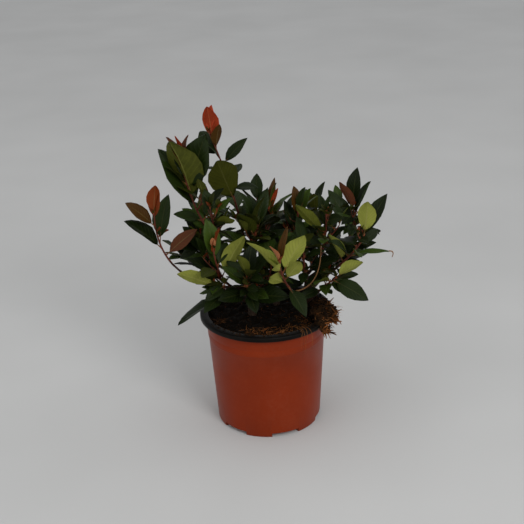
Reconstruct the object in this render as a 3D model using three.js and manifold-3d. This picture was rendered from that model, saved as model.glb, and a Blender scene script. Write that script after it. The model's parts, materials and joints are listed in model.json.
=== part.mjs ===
// A potted dwarf red-tip photinia: a small evergreen shrub of glossy alternate leaves with red
// young tips, in a two-tone nursery pot filled with peat. Millimetres, +Z up. The origin is the
// centre of the pot's flat underside, and -Y faces the viewer of the front.
import * as THREE from "three";
import { mergeVertices } from "three/addons/utils/BufferGeometryUtils.js";
import Module from "manifold-3d";

const wasm = await Module();
wasm.setup();

const GAP = 0.3; // running gap between neighbouring solids
const LIMB_GAP = 0.4; // cut between two limbs of different solids
const SEED = 700;
// How finely each kind of limb is faceted round and along.
const FACETS = {
  stem: { sides: 6, steps: 6 },
  bough: { sides: 5, steps: 4 },
  shoot: { sides: 5, steps: 2 },
  twig: { sides: 3, steps: 1 },
};
const DEGREE = Math.PI / 180;

// The pot: a thin tapered wall with a black rolled rim, on six feet with drain channels between.
const POT = {
  height: 170,
  rimRadius: 95,
  topRadius: 87,
  footRadius: 76,
  wall: 1.6,
  floor: 2,
  bandHeight: 134,
  bandStep: 0.7,
  footRound: 1.5,
  wallTop: 168.2,
  facets: 32,
};
const CHANNEL = { count: 6, span: 31, first: -72.5, inner: 50, height: 6, steps: 4 };
const DRAIN = { radius: 4, at: 62, facets: 10 };
const RIM = { drop: 6.5, thick: 1.4, skirtFoot: 140, skirt: 1.2, roll: 2 };
// The peat, with its heap against the rim on the right, and the flat seats under the stems.
const PEAT = {
  level: 161,
  lump: 2,
  bottom: 8,
  rings: 4,
  seat: 2.5,
  seatSides: 6,
  seatDepth: 16,
  heap: 22,
  heapAt: [82, 6],
  heapReach: 28,
};
// Waves that make its surface uneven: radians per millimetre, a phase, and a share of the lump.
const WAVES = [
  { x: 0.19, y: 0.23, phase: 1.3, share: 1 },
  { x: 0.41, y: 0.37, phase: 0, share: 0.6 },
];
// The clump of bark and fibre that spills over the rim on the right: lumps between two radii.
const CLUMP = {
  seed: 41,
  lumps: 9,
  detail: 0,
  bearing: -20,
  span: 24,
  from: 76,
  to: 101,
  size: [13, 7],
  stretch: [0.9, 1.5],
  flat: 0.75,
  rise: 5,
  fall: 6,
};

// The woody stems that leave the peat: foot and top are radii, and the flare fades up the stem.
const STEMS = {
  stem_left: { start: [-20, 2], via: [-22, 4, 200], tip: [-24, 2, 240], foot: 5.2, top: 3.2, flare: 1.8 },
  stem_middle: { start: [16, 34], via: [17, 36, 200], tip: [12, 34, 234], foot: 4, top: 2.8, flare: 1.4 },
  stem_right: { start: [56, 2], via: [60, -2, 196], tip: [60, 0, 228], foot: 4.4, top: 3, flare: 1.5 },
};
const STEM = { sunk: 0.06, flareFade: 9 };

// Each shoot is one curve from its parent to its tip. The lower, bare share of it is a bough, and the
// rest is the stem of a leafy mass. Its leaves are listed from the lowest up, as the photo shows them:
// [compass bearing, degrees above level, blade length, roll]. A bearing is 0 to the right, 90 away
// from the viewer, 180 to the left and 270 towards the viewer. A shoot at the back lists none: its
// leaves follow the spiral. twigs is how many side twigs its mass grows, and young how many leaves at
// its tip are still red.
const SHOOTS = [
  {
    name: "top", parent: "stem_left", share: 1,
    via: [-26, 18, 315], tip: [-68, 10, 432],
    bare: 0.3, twigs: 1, young: 3,
    leaves: [
      [50, 10, 56, 50], [100, 25, 50, 0], [240, 60, 88, 50], [110, 75, 34, -30],
      [330, 15, 38, 20], [60, 25, 36, 10], [190, 25, 28, 0], [0, 50, 44, 40],
      [135, 35, 46, -60], [290, 78, 36, 10], [215, 85, 46, 40], [70, 80, 34, -10],
    ],
  },
  {
    name: "upper_left", parent: "stem_left", share: 0.86,
    via: [-97, 6, 287], tip: [-109, 5, 405],
    bare: 0.36, twigs: 1, young: 3,
    leaves: [
      [170, 50, 45, -30], [50, 45, 49, 10], [155, 64, 90, -20], [195, 80, 86, 40],
      [350, 76, 76, 80], [150, 70, 50, -30], [160, 75, 50, 0], [60, 75, 37, -30],
      [150, 85, 25, 60],
    ],
  },
  {
    name: "small_left", parent: "upper_left", share: 0.28,
    via: [-66, -26, 290], tip: [-69, -48, 344],
    bare: 0.5, twigs: 0, young: 0,
    leaves: [
      [255, 45, 30, -60], [335, 20, 33, -60], [235, 80, 30, -60], [340, 80, 21, 60],
    ],
  },
  {
    name: "far_left", parent: "stem_left", share: 0.52,
    via: [-151, -16, 212], tip: [-147, -26, 331],
    bare: 0.62, twigs: 0, young: 3,
    leaves: [
      [345, 45, 53, 70], [195, 52, 59, -30], [60, 76, 60, 0], [65, 10, 23, -60],
      [290, 40, 18, 60], [190, 50, 46, -40], [40, 85, 40, 20], [315, 85, 41, -20],
    ],
  },
  {
    name: "front_left", parent: "stem_left", share: 0.4,
    via: [-64, -43, 221], tip: [-67, -72, 294],
    bare: 0.42, twigs: 1, young: 2,
    leaves: [
      [190, 45, 58, -30], [0, 68, 62, -60], [175, 75, 45, -30], [60, 50, 34, 20],
      [170, 85, 54, -50], [295, 80, 38, 60], [275, 70, 23, 0],
    ],
  },
  {
    name: "left_mid", parent: "stem_left", share: 0.72,
    via: [-91, 18, 233], tip: [-88, 10, 288],
    bare: 0.4, twigs: 1, young: 0,
    leaves: [
      [180, 15, 44, -20], [205, 60, 52, -60], [85, 55, 44, -30], [145, 64, 50, -10],
      [105, 80, 46, 20], [315, 60, 44, -30],
    ],
  },
  {
    name: "low_left", parent: "stem_left", share: 0.22,
    via: [-52, -54, 218], tip: [-69, -62, 238],
    bare: 0.4, twigs: 0, young: 0,
    leaves: [
      [205, -8, 76, 10], [235, -5, 44, -10], [150, 10, 36, 10], [187, 32, 54, 70],
      [80, 65, 26, -40],
    ],
  },
  {
    name: "low_front", parent: "stem_left", share: 0.14,
    via: [-26, -47, 208], tip: [-24, -62, 249],
    bare: 0.4, twigs: 0, young: 0,
    leaves: [
      [330, 15, 56, 40], [220, 15, 50, -40], [285, -10, 42, 10], [185, 50, 44, -50],
      [35, 50, 46, 10], [95, 75, 46, 20], [240, 70, 40, 0],
    ],
  },
  {
    name: "front_mid", parent: "stem_right", share: 0.34,
    via: [25, -71, 226], tip: [20, -94, 282],
    bare: 0.45, twigs: 0, young: 0,
    leaves: [
      [300, -25, 46, 10], [230, 35, 42, 70], [320, 52, 44, -60], [190, 58, 66, 30],
      [345, 66, 62, -60], [245, 40, 30, 50], [140, 45, 33, 0], [40, 80, 47, 0],
      [200, 70, 26, 20],
    ],
  },
  {
    name: "inner_left", parent: "stem_left", share: 0.95,
    via: [-8, -6, 262], tip: [-12, -18, 306],
    bare: 0.3, twigs: 1, young: 0,
    leaves: [
      [20, 20, 50, 40], [200, 40, 50, -30], [330, 35, 56, 20], [110, 60, 60, 0], [230, 60, 52, 20],
      [40, 70, 58, 30], [165, 80, 50, -30], [320, 75, 44, 20],
    ],
  },
  {
    name: "inner_front", parent: "stem_left", share: 0.32,
    via: [4, -24, 204], tip: [10, -34, 252],
    bare: 0.4, twigs: 0, young: 0,
    leaves: [
      [20, 5, 54, 20], [250, 10, 50, 0], [150, 30, 50, -20], [330, 35, 52, 30], [90, 60, 56, 0],
      [220, 60, 48, -20], [10, 70, 46, 20],
    ],
  },
  {
    name: "inner_right", parent: "stem_right", share: 0.68,
    via: [56, -26, 232], tip: [54, -34, 284],
    bare: 0.36, twigs: 0, young: 0,
    leaves: [
      [10, 10, 50, 30], [200, 20, 50, -30], [110, 40, 54, 0], [320, 35, 34, 30],
      [180, 45, 46, -40], [100, 65, 40, 20], [250, 30, 30, 0],
    ],
  },
  {
    name: "middle", parent: "stem_middle", share: 1,
    via: [-3, 38, 251], tip: [10, 18, 317],
    bare: 0.4, twigs: 1, young: 2,
    leaves: [
      [205, 55, 46, -80], [340, 25, 43, 50], [195, 60, 51, -60], [285, 45, 44, -30],
      [185, 80, 50, -60], [10, 80, 52, 15], [270, 85, 34, -60], [350, 80, 36, -40],
    ],
  },
  {
    name: "centre", parent: "stem_middle", share: 0.8,
    via: [45, 27, 254], tip: [50, 4, 315],
    bare: 0.42, twigs: 1, young: 0,
    leaves: [
      [220, 40, 47, -60], [325, 30, 41, 60], [165, 75, 40, -40], [5, 75, 49, 30], [90, 80, 40, 30],
      [330, 80, 34, 60],
    ],
  },
  {
    name: "right_mid", parent: "stem_right", share: 0.9,
    via: [90, -18, 254], tip: [87, -26, 324],
    bare: 0.4, twigs: 1, young: 1,
    leaves: [
      [215, 15, 44, -60], [30, 5, 43, 50], [205, 55, 68, 60], [100, 70, 44, 30], [295, 25, 35, 70],
      [45, 75, 24, -20],
    ],
  },
  {
    name: "right_high", parent: "stem_right", share: 0.77,
    via: [140, 8, 266], tip: [126, 0, 322],
    bare: 0.5, twigs: 1, young: 0,
    leaves: [
      [15, 10, 44, 20], [180, 65, 57, -50], [255, 0, 30, -20], [330, 75, 52, 40], [205, 70, 49, 20],
      [70, 85, 48, -10],
    ],
  },
  {
    name: "right", parent: "stem_right", share: 0.56,
    via: [123, -47, 261], tip: [136, -48, 296],
    bare: 0.42, twigs: 0, young: 0,
    leaves: [
      [200, 60, 42, 40], [345, 20, 49, 10], [280, 20, 36, -40], [95, 5, 41, -20],
      [45, 10, 43, 60], [5, 65, 62, 0], [295, 75, 54, -40],
    ],
  },
  {
    name: "low_right", parent: "stem_right", share: 0.2,
    via: [81, -42, 220], tip: [97, -58, 240],
    bare: 0.45, twigs: 0, young: 0,
    leaves: [
      [215, 0, 36, -30], [30, -10, 42, 60], [120, 15, 34, -40], [305, 0, 54, 50],
      [355, 38, 40, -60],
    ],
  },
  {
    name: "back_left", parent: "stem_left", share: 0.6,
    via: [-64, 56, 224], tip: [-88, 78, 290],
    bare: 0.4, spiral: 35, count: 9, twigs: 1, young: 1,
  },
  {
    name: "back_low_left", parent: "stem_left", share: 0.3,
    via: [-60, 44, 196], tip: [-118, 46, 236],
    bare: 0.5, spiral: 140, count: 7, twigs: 1, young: 0,
  },
  {
    name: "back_mid", parent: "stem_middle", share: 0.6,
    via: [0, 84, 226], tip: [-6, 98, 296],
    bare: 0.42, spiral: 80, count: 9, twigs: 1, young: 2,
  },
  {
    name: "back_right", parent: "stem_middle", share: 0.42,
    via: [70, 66, 214], tip: [80, 86, 290],
    bare: 0.45, spiral: 10, count: 9, twigs: 1, young: 1,
  },
  {
    name: "back_low_right", parent: "stem_right", share: 0.38,
    via: [90, 44, 200], tip: [134, 54, 246],
    bare: 0.5, spiral: 20, count: 7, twigs: 1, young: 0,
  },
];
const SHOOT = { sunk: 2, footRadius: 2.3, tipRadius: 0.9, lowest: 0.06, highest: 0.99, crowd: 0.85 };
// The spiral of leaves on a shoot or twig that lists none.
const SPIRAL = { turn: 137.5, lift: [18, 74], leaf: [56, 38], bearingJitter: 9, liftJitter: 8 };
const TWIG = {
  footRadius: 1.2,
  tipRadius: 0.7,
  root: 8,
  length: [26, 38],
  lift: [34, 62],
  rise: 14,
  search: 45,
  highest: 0.8,
  leaves: 3,
  leaf: [42, 28],
  lowest: 0.4,
  aside: 60,
};

// The leaf: a pointed ellipse, folded along its midrib and curved down towards its tip. Lengths are
// shares of the blade's own, and thick runs from its base to its tip.
const LEAF = {
  widthShare: 0.48,
  thick: [0.024, 0.004],
  widest: 0.88,
  fullness: 0.85,
  petioleShare: 0.16,
  petioleRadius: 0.75,
  lengthJitter: 0.08,
  rollJitter: 20,
  droop: [12, 30],
  listedDroop: 20,
  fold: [10, 22],
};
const PETIOLE_STATIONS = [-1, -0.8, 0.02];
const BLADE_STATIONS = [0.32, 0.68, 1];
const CLOUD = { stations: [0.08, 0.22, 0.36, 0.5, 0.64, 0.78, 0.9, 1], sides: [-1, -0.5, 0, 0.5, 1] };
const CLEAR = { otherLeaf: 5.5, ownLeaf: 2.5, limb: 3, twig: 2, rim: 3, lowest: 135, reach: 190, bead: 4 };
const TURNS = [0, 12, -12, 24, -24, 38, -38];
const TILTS = [0, 12, -12, 24];

const COLOUR = {
  terracotta: { color: 0x8a3a1e, roughness: 0.45, metalness: 0 },
  black: { color: 0x17181a, roughness: 0.4, metalness: 0 },
  peat: { color: 0x2a1a10, roughness: 0.95, metalness: 0 },
  bark: { color: 0x3d2220, roughness: 0.7, metalness: 0 },
  leaf: { color: 0x2c4a1c, roughness: 0.35, metalness: 0 },
  tip: { color: 0x6e2c1c, roughness: 0.4, metalness: 0 },
};

const vector = (p) => new THREE.Vector3(...p);
const mix = (a, b, t) => a + (b - a) * t;

// A small seeded generator, so that every build grows the same plant.
class Dice {
  constructor(seed) {
    this.state = seed >>> 0;
  }

  roll() {
    this.state = (this.state + 0x6d2b79f5) >>> 0;
    let t = this.state;
    t = Math.imul(t ^ (t >>> 15), t | 1);
    t ^= t + Math.imul(t ^ (t >>> 7), t | 61);
    return ((t ^ (t >>> 14)) >>> 0) / 4294967296;
  }

  spread(reach) {
    return (this.roll() * 2 - 1) * reach;
  }

  between(low, high) {
    return mix(low, high, this.roll());
  }
}

// A closed three.js geometry as a manifold solid.
function solid(geometry) {
  const bare = geometry.clone();
  bare.deleteAttribute("normal");
  bare.deleteAttribute("uv");
  const merged = mergeVertices(bare, 1e-4);
  return new wasm.Manifold(
    new wasm.Mesh({
      numProp: 3,
      vertProperties: new Float32Array(merged.attributes.position.array),
      triVerts: new Uint32Array(merged.index.array),
    }),
  );
}

function largestBody(made) {
  return made.decompose().sort((a, b) => b.volume() - a.volume())[0];
}

function mesh(name, made, finish) {
  const { vertProperties, triVerts, numProp } = made.getMesh();
  const points = new Float32Array((vertProperties.length / numProp) * 3);
  for (let i = 0; i < points.length / 3; i++) {
    points.set(vertProperties.subarray(i * numProp, i * numProp + 3), i * 3);
  }
  const geometry = new THREE.BufferGeometry()
    .setAttribute("position", new THREE.BufferAttribute(points, 3))
    .setIndex(new THREE.BufferAttribute(triVerts, 1));
  const flat = geometry.toNonIndexed();
  flat.computeVertexNormals();
  const piece = new THREE.Mesh(flat, new THREE.MeshStandardMaterial(COLOUR[finish]));
  piece.name = name;
  return piece;
}

// A solid turned about the Z axis from a profile of [radius, height] points.
function turned(profile) {
  const points = profile.map(([r, z]) => new THREE.Vector2(r, z));
  return new THREE.LatheGeometry(points, POT.facets).rotateX(Math.PI / 2);
}

const wallRadius = (z) => mix(POT.footRadius, POT.topRadius, z / POT.wallTop);
const innerRadius = (z) => wallRadius(z) - POT.bandStep - POT.wall;

// A sector of a ring between two radii and two heights.
function ringSector(bearing, span, inner, outer, low, high) {
  const from = (bearing - span / 2) * DEGREE;
  const to = (bearing + span / 2) * DEGREE;
  const shape = new THREE.Shape();
  shape.absarc(0, 0, outer, from, to, false);
  shape.absarc(0, 0, inner, to, from, true);
  const options = { depth: high - low, bevelEnabled: false, curveSegments: CHANNEL.steps };
  return solid(new THREE.ExtrudeGeometry(shape, options).translate(0, 0, low));
}

const channelBearings = Array.from({ length: CHANNEL.count }, (_, i) => {
  return CHANNEL.first + (i * 360) / CHANNEL.count;
});

// The drain channels under the floor, grown by what their roof and sides add.
function channels(grow) {
  const span = CHANNEL.span + (2 * grow) / DRAIN.at / DEGREE;
  const sectors = channelBearings.map((bearing) =>
    ringSector(bearing, span, CHANNEL.inner - grow, POT.rimRadius, -1, CHANNEL.height + grow),
  );
  return wasm.Manifold.union(sectors);
}

function drains() {
  const holes = channelBearings.map((bearing) => {
    const hole = new THREE.CylinderGeometry(DRAIN.radius, DRAIN.radius, 3 * POT.wall, DRAIN.facets);
    hole.rotateX(Math.PI / 2).translate(DRAIN.at, 0, CHANNEL.height).rotateZ(bearing * DEGREE);
    return solid(hole);
  });
  return wasm.Manifold.union(holes);
}

function makePot() {
  const step = POT.bandStep;
  const outside = turned([
    [0, 0],
    [POT.footRadius - POT.footRound, 0],
    [POT.footRadius, POT.footRound],
    [wallRadius(POT.bandHeight) - step, POT.bandHeight],
    [wallRadius(POT.bandHeight), POT.bandHeight + step],
    [POT.topRadius, POT.wallTop],
    [0, POT.wallTop],
  ]);
  const cavity = turned([
    [0, POT.floor],
    [innerRadius(POT.floor) - POT.footRound, POT.floor],
    [innerRadius(2 * POT.floor), 2 * POT.floor],
    [innerRadius(POT.bandHeight), POT.bandHeight],
    [innerRadius(POT.wallTop), POT.wallTop],
    [innerRadius(POT.wallTop), POT.height],
    [0, POT.height],
  ]);
  const inside = solid(cavity).subtract(channels(POT.wall));
  return solid(outside).subtract(inside).subtract(channels(0)).subtract(drains());
}

// The black rolled rim, with the skirt that lines the wall down into the peat.
function makeRim(grow = 0) {
  const lined = (z) => innerRadius(z) - GAP;
  const { drop, thick, skirtFoot, skirt, roll } = RIM;
  const { rimRadius, height, wallTop } = POT;
  const under = grow ? wallTop - grow : wallTop + GAP;
  const profile = turned([
    [lined(skirtFoot) - skirt - grow, skirtFoot - grow],
    [lined(skirtFoot) + grow, skirtFoot - grow],
    [lined(wallTop) + grow, under],
    [rimRadius - thick - roll, under],
    [rimRadius - thick - grow, wallTop - roll],
    [rimRadius - thick - grow, height - drop - grow],
    [rimRadius + grow, height - drop - grow],
    [rimRadius + grow, height - roll],
    [rimRadius - roll + grow, height + grow],
    [lined(height) - skirt + roll / 2, height + grow],
    [lined(height) - skirt - grow, height - roll],
    [lined(skirtFoot) - skirt - grow, skirtFoot - grow],
  ]);
  return solid(profile);
}

// The rim and wall with a skin of air, to cut what is heaped over them.
function rimAndWall() {
  const { bandHeight, height, rimRadius, wallTop } = POT;
  const wall = turned([
    [innerRadius(bandHeight) - GAP, bandHeight - RIM.drop],
    [wallRadius(bandHeight) + GAP, bandHeight - RIM.drop],
    [rimRadius - RIM.thick, height - RIM.drop],
    [rimRadius - RIM.thick, wallTop],
    [innerRadius(wallTop) - GAP, wallTop],
    [innerRadius(bandHeight) - GAP, bandHeight - RIM.drop],
  ]);
  return solid(wall).add(makeRim(GAP));
}

// Height of the peat's surface: low lumps, and a heap against the rim.
function peatHeight(x, y) {
  const away = Math.hypot(x - PEAT.heapAt[0], y - PEAT.heapAt[1]) / PEAT.heapReach;
  let height = PEAT.level + PEAT.heap * Math.exp(-away * away);
  for (const wave of WAVES) {
    height += PEAT.lump * wave.share * Math.sin(x * wave.x + wave.phase) * Math.cos(y * wave.y);
  }
  return height;
}

// The round seats under the stems, between two heights.
function seats(low, high) {
  const pads = Object.values(STEMS).map(({ start, foot, flare }) => {
    const radius = foot + flare + PEAT.seat;
    const pad = new THREE.CylinderGeometry(radius, radius, high - low, PEAT.seatSides).rotateX(Math.PI / 2);
    return solid(pad.translate(start[0], start[1], (low + high) / 2));
  });
  return wasm.Manifold.union(pads);
}

function makePeat() {
  const edge = innerRadius(PEAT.level) - 2 * GAP - RIM.skirt;
  const top = Array.from({ length: PEAT.rings }, (_, i) => [edge * (1 - i / PEAT.rings), PEAT.level]);
  const filling = turned([
    [0, PEAT.bottom],
    [innerRadius(PEAT.bottom) - GAP, PEAT.bottom],
    [innerRadius(RIM.skirtFoot) - 2 * GAP - RIM.skirt, RIM.skirtFoot - RIM.skirt],
    ...top,
    [0, PEAT.level],
  ]);
  const place = filling.attributes.position;
  for (let i = 0; i < place.count; i++) {
    if (place.getZ(i) > PEAT.level - GAP) place.setZ(i, peatHeight(place.getX(i), place.getY(i)));
  }
  const body = solid(filling).subtract(channels(POT.wall + GAP));
  const seated = body.add(seats(PEAT.level - PEAT.seatDepth, PEAT.level));
  const heaped = wasm.Manifold.union([seated, ...makeClump()]);
  return largestBody(heaped.subtract(rimAndWall()).subtract(seats(PEAT.level, PEAT.level + PEAT.heap)));
}

// Lumps of bark and fibre from the heap over the rim and down its outside.
function makeClump() {
  const dice = new Dice(CLUMP.seed);
  return Array.from({ length: CLUMP.lumps }, (_, i) => {
    const out = i / (CLUMP.lumps - 1);
    const size = mix(CLUMP.size[0], CLUMP.size[1], out);
    const bearing = CLUMP.bearing + dice.spread(CLUMP.span);
    const lump = new THREE.IcosahedronGeometry(size, CLUMP.detail);
    lump.scale(1, dice.between(...CLUMP.stretch), CLUMP.flat);
    lump.rotateZ(dice.spread(1)).rotateY(out);
    const height = POT.height + CLUMP.rise * (1 - out) - CLUMP.fall * out * out;
    lump.translate(mix(CLUMP.from, CLUMP.to, out), 0, height);
    return solid(lump.rotateZ(bearing * DEGREE));
  });
}

// The centre line of a limb, bent in one plane so that its sections don't twist.
class Line {
  constructor(start, via, tip) {
    this.curve = new THREE.QuadraticBezierCurve3(start, via, tip);
    this.out = via.clone().sub(start);
    this.bend = tip.clone().sub(via).sub(this.out);
    this.across = new THREE.Vector3().crossVectors(via.clone().sub(start), tip.clone().sub(start));
    if (this.across.length() < 1) this.across.set(0, 1, 0);
    this.across.normalize();
    this.length = this.curve.getLength();
  }

  at(share) {
    return this.curve.getPoint(share);
  }

  // The point at a share of the line on its limb's facets, which cut across the line's bends.
  onFacets(share, from, steps) {
    const step = (1 - from) / steps;
    const ring = Math.min(Math.floor((share - from) / step), steps - 1);
    const low = from + ring * step;
    return this.at(low).lerp(this.at(low + step), (share - low) / step);
  }

  // Which way the line runs, also a little past its ends.
  along(share) {
    return this.out.clone().addScaledVector(this.bend, share).normalize();
  }

  // A tapering limb between two shares of the line.
  limb(from, to, radiusAt, { sides, steps }, grow = 0) {
    const tube = new THREE.CylinderGeometry(1, 1, 1, sides, steps);
    const place = tube.attributes.position;
    const reach = grow / this.length;
    for (let i = 0; i < place.count; i++) {
      const share = mix(from - reach, to + reach, place.getY(i) + 0.5);
      const radius = radiusAt(share) + grow;
      const out = new THREE.Vector3().crossVectors(this.across, this.along(share));
      const point = this.at(share);
      point.addScaledVector(out, place.getX(i) * radius);
      point.addScaledVector(this.across, -place.getZ(i) * radius);
      place.setXYZ(i, point.x, point.y, point.z);
    }
    return solid(tube);
  }

  // Spheres along the limb, for the test that leaves and twigs stay off it.
  beads(radiusAt, owner) {
    const count = Math.ceil(this.length / CLEAR.bead);
    return Array.from({ length: count + 1 }, (_, i) => ({
      point: this.at(i / count),
      radius: radiusAt(i / count),
      owner,
    }));
  }
}

const shootRadius = (share) => mix(SHOOT.footRadius, SHOOT.tipRadius, share);
const twigRadius = (share) => mix(TWIG.footRadius, TWIG.tipRadius, share);

function stemRadius({ foot, top, flare }) {
  return (share) => mix(foot, top, share) + flare * Math.exp(-share * STEM.flareFade);
}

// The blade's width at a share of its length, as a share of its greatest.
function bladeWidth(share) {
  return Math.max(Math.sin(Math.PI * share ** LEAF.widest), 0) ** LEAF.fullness;
}

// A unit vector from a compass bearing and degrees above level.
function heading(bearing, lift) {
  const level = Math.cos(lift * DEGREE);
  return new THREE.Vector3(
    Math.cos(bearing * DEGREE) * level,
    Math.sin(bearing * DEGREE) * level,
    Math.sin(lift * DEGREE),
  );
}

// One leaf: its foot on the limb's line, the root of its petiole inside the limb's facets, its
// heading, and a face that looks up and inwards.
class Leaf {
  constructor({ foot, root }, pose) {
    this.foot = foot;
    this.root = root;
    this.length = pose.length;
    this.droop = pose.droop * DEGREE;
    this.fold = Math.tan(pose.fold * DEGREE);
    this.direction = heading(pose.bearing, pose.lift);
    this.face = new THREE.Vector3(0, 0, 1).addScaledVector(this.direction, -this.direction.z).normalize();
    this.face.applyAxisAngle(this.direction, pose.roll * DEGREE);
    this.side = new THREE.Vector3().crossVectors(this.direction, this.face);
  }

  // A point of the leaf: s runs from -1 at the foot through 0 at the blade's base to 1 at its tip,
  // side from -1 to 1 across the blade, out sideways and up off its face in millimetres.
  point(s, side, out, up) {
    const turn = this.droop * Math.max(s, 0);
    const forward = s < 0 ? (1 + s) * LEAF.petioleShare : LEAF.petioleShare + Math.sin(turn) / this.droop;
    const sink = (1 - Math.cos(turn)) / this.droop;
    const half = (this.length * LEAF.widthShare * bladeWidth(Math.max(s, 0))) / 2;
    const lifted = up + Math.abs(side) * half * this.fold;
    return this.foot
      .clone()
      .addScaledVector(this.direction, this.length * forward + Math.sin(turn) * lifted)
      .addScaledVector(this.face, -this.length * sink + Math.cos(turn) * lifted)
      .addScaledVector(this.side, side * half + out);
  }

  cloud() {
    return CLOUD.stations.flatMap((s) => CLOUD.sides.map((side) => this.point(s, side, 0, 0)));
  }

  // The closed solid: rings of four points from the petiole's root, sunk in the limb, to the tip.
  solid() {
    const stations = [...PETIOLE_STATIONS, ...BLADE_STATIONS];
    const last = stations.length - 1;
    const blade = new THREE.SphereGeometry(1, 4, last);
    const place = blade.attributes.position;
    for (let i = 0; i < place.count; i++) {
      const ring = Math.round((Math.acos(THREE.MathUtils.clamp(place.getY(i), -1, 1)) / Math.PI) * last);
      const away = ring === 0 || ring === last ? Infinity : Math.hypot(place.getX(i), place.getZ(i));
      const side = place.getX(i) / away;
      const up = -place.getZ(i) / away;
      const thick = this.length * mix(...LEAF.thick, stations[ring]);
      const point =
        ring < PETIOLE_STATIONS.length
          ? this.point(stations[ring], 0, side * LEAF.petioleRadius, up * LEAF.petioleRadius)
          : this.point(stations[ring], side, 0, up * thick);
      const { x, y, z } = ring === 0 ? this.root : point;
      place.setXYZ(i, x, y, z);
    }
    return solid(blade);
  }
}

// Keeps the limbs' beads and the leaves' clouds, and says whether something new is clear of them.
class Crown {
  constructor() {
    this.beads = [];
    this.leaves = [];
  }

  // True above the peat, clear of the rim, and over the lowest leaf tips outside the pot.
  static inSpace(p) {
    const floor = Math.hypot(p.x, p.y) < POT.rimRadius + CLEAR.rim ? POT.height + CLEAR.rim : CLEAR.lowest;
    return p.z >= floor;
  }

  // A leaf from a list may come close to its own shoot's others, which it is fused with.
  admitsLeaf(cloud, owner, listed) {
    if (!cloud.every(Crown.inSpace)) return false;
    for (const { point, radius, owner: bough } of this.beads) {
      if (bough !== owner && cloud.some((p) => p.distanceTo(point) < radius + CLEAR.limb)) return false;
    }
    return this.leaves.every((leaf) => {
      if (leaf.cloud[0].distanceTo(cloud[0]) > CLEAR.reach) return true;
      if (listed && leaf.owner === owner) return true;
      const near = leaf.owner === owner ? CLEAR.ownLeaf : CLEAR.otherLeaf;
      return cloud.every((p) => leaf.cloud.every((q) => p.distanceTo(q) >= near));
    });
  }

  // A twig may touch its own shoot at its foot, but nothing else.
  admitsTwig(beads, owner) {
    const free = beads.slice(Math.ceil(TWIG.root / CLEAR.bead));
    if (!free.every((bead) => Crown.inSpace(bead.point))) return false;
    for (const a of free) {
      const near = (b) => a.point.distanceTo(b.point) < a.radius + b.radius + CLEAR.twig;
      if (this.beads.some(near)) return false;
    }
    return this.leaves.every((leaf) =>
      beads.every((a) => leaf.cloud.every((q) => a.point.distanceTo(q) >= a.radius + CLEAR.twig)),
    );
  }
}

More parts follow.
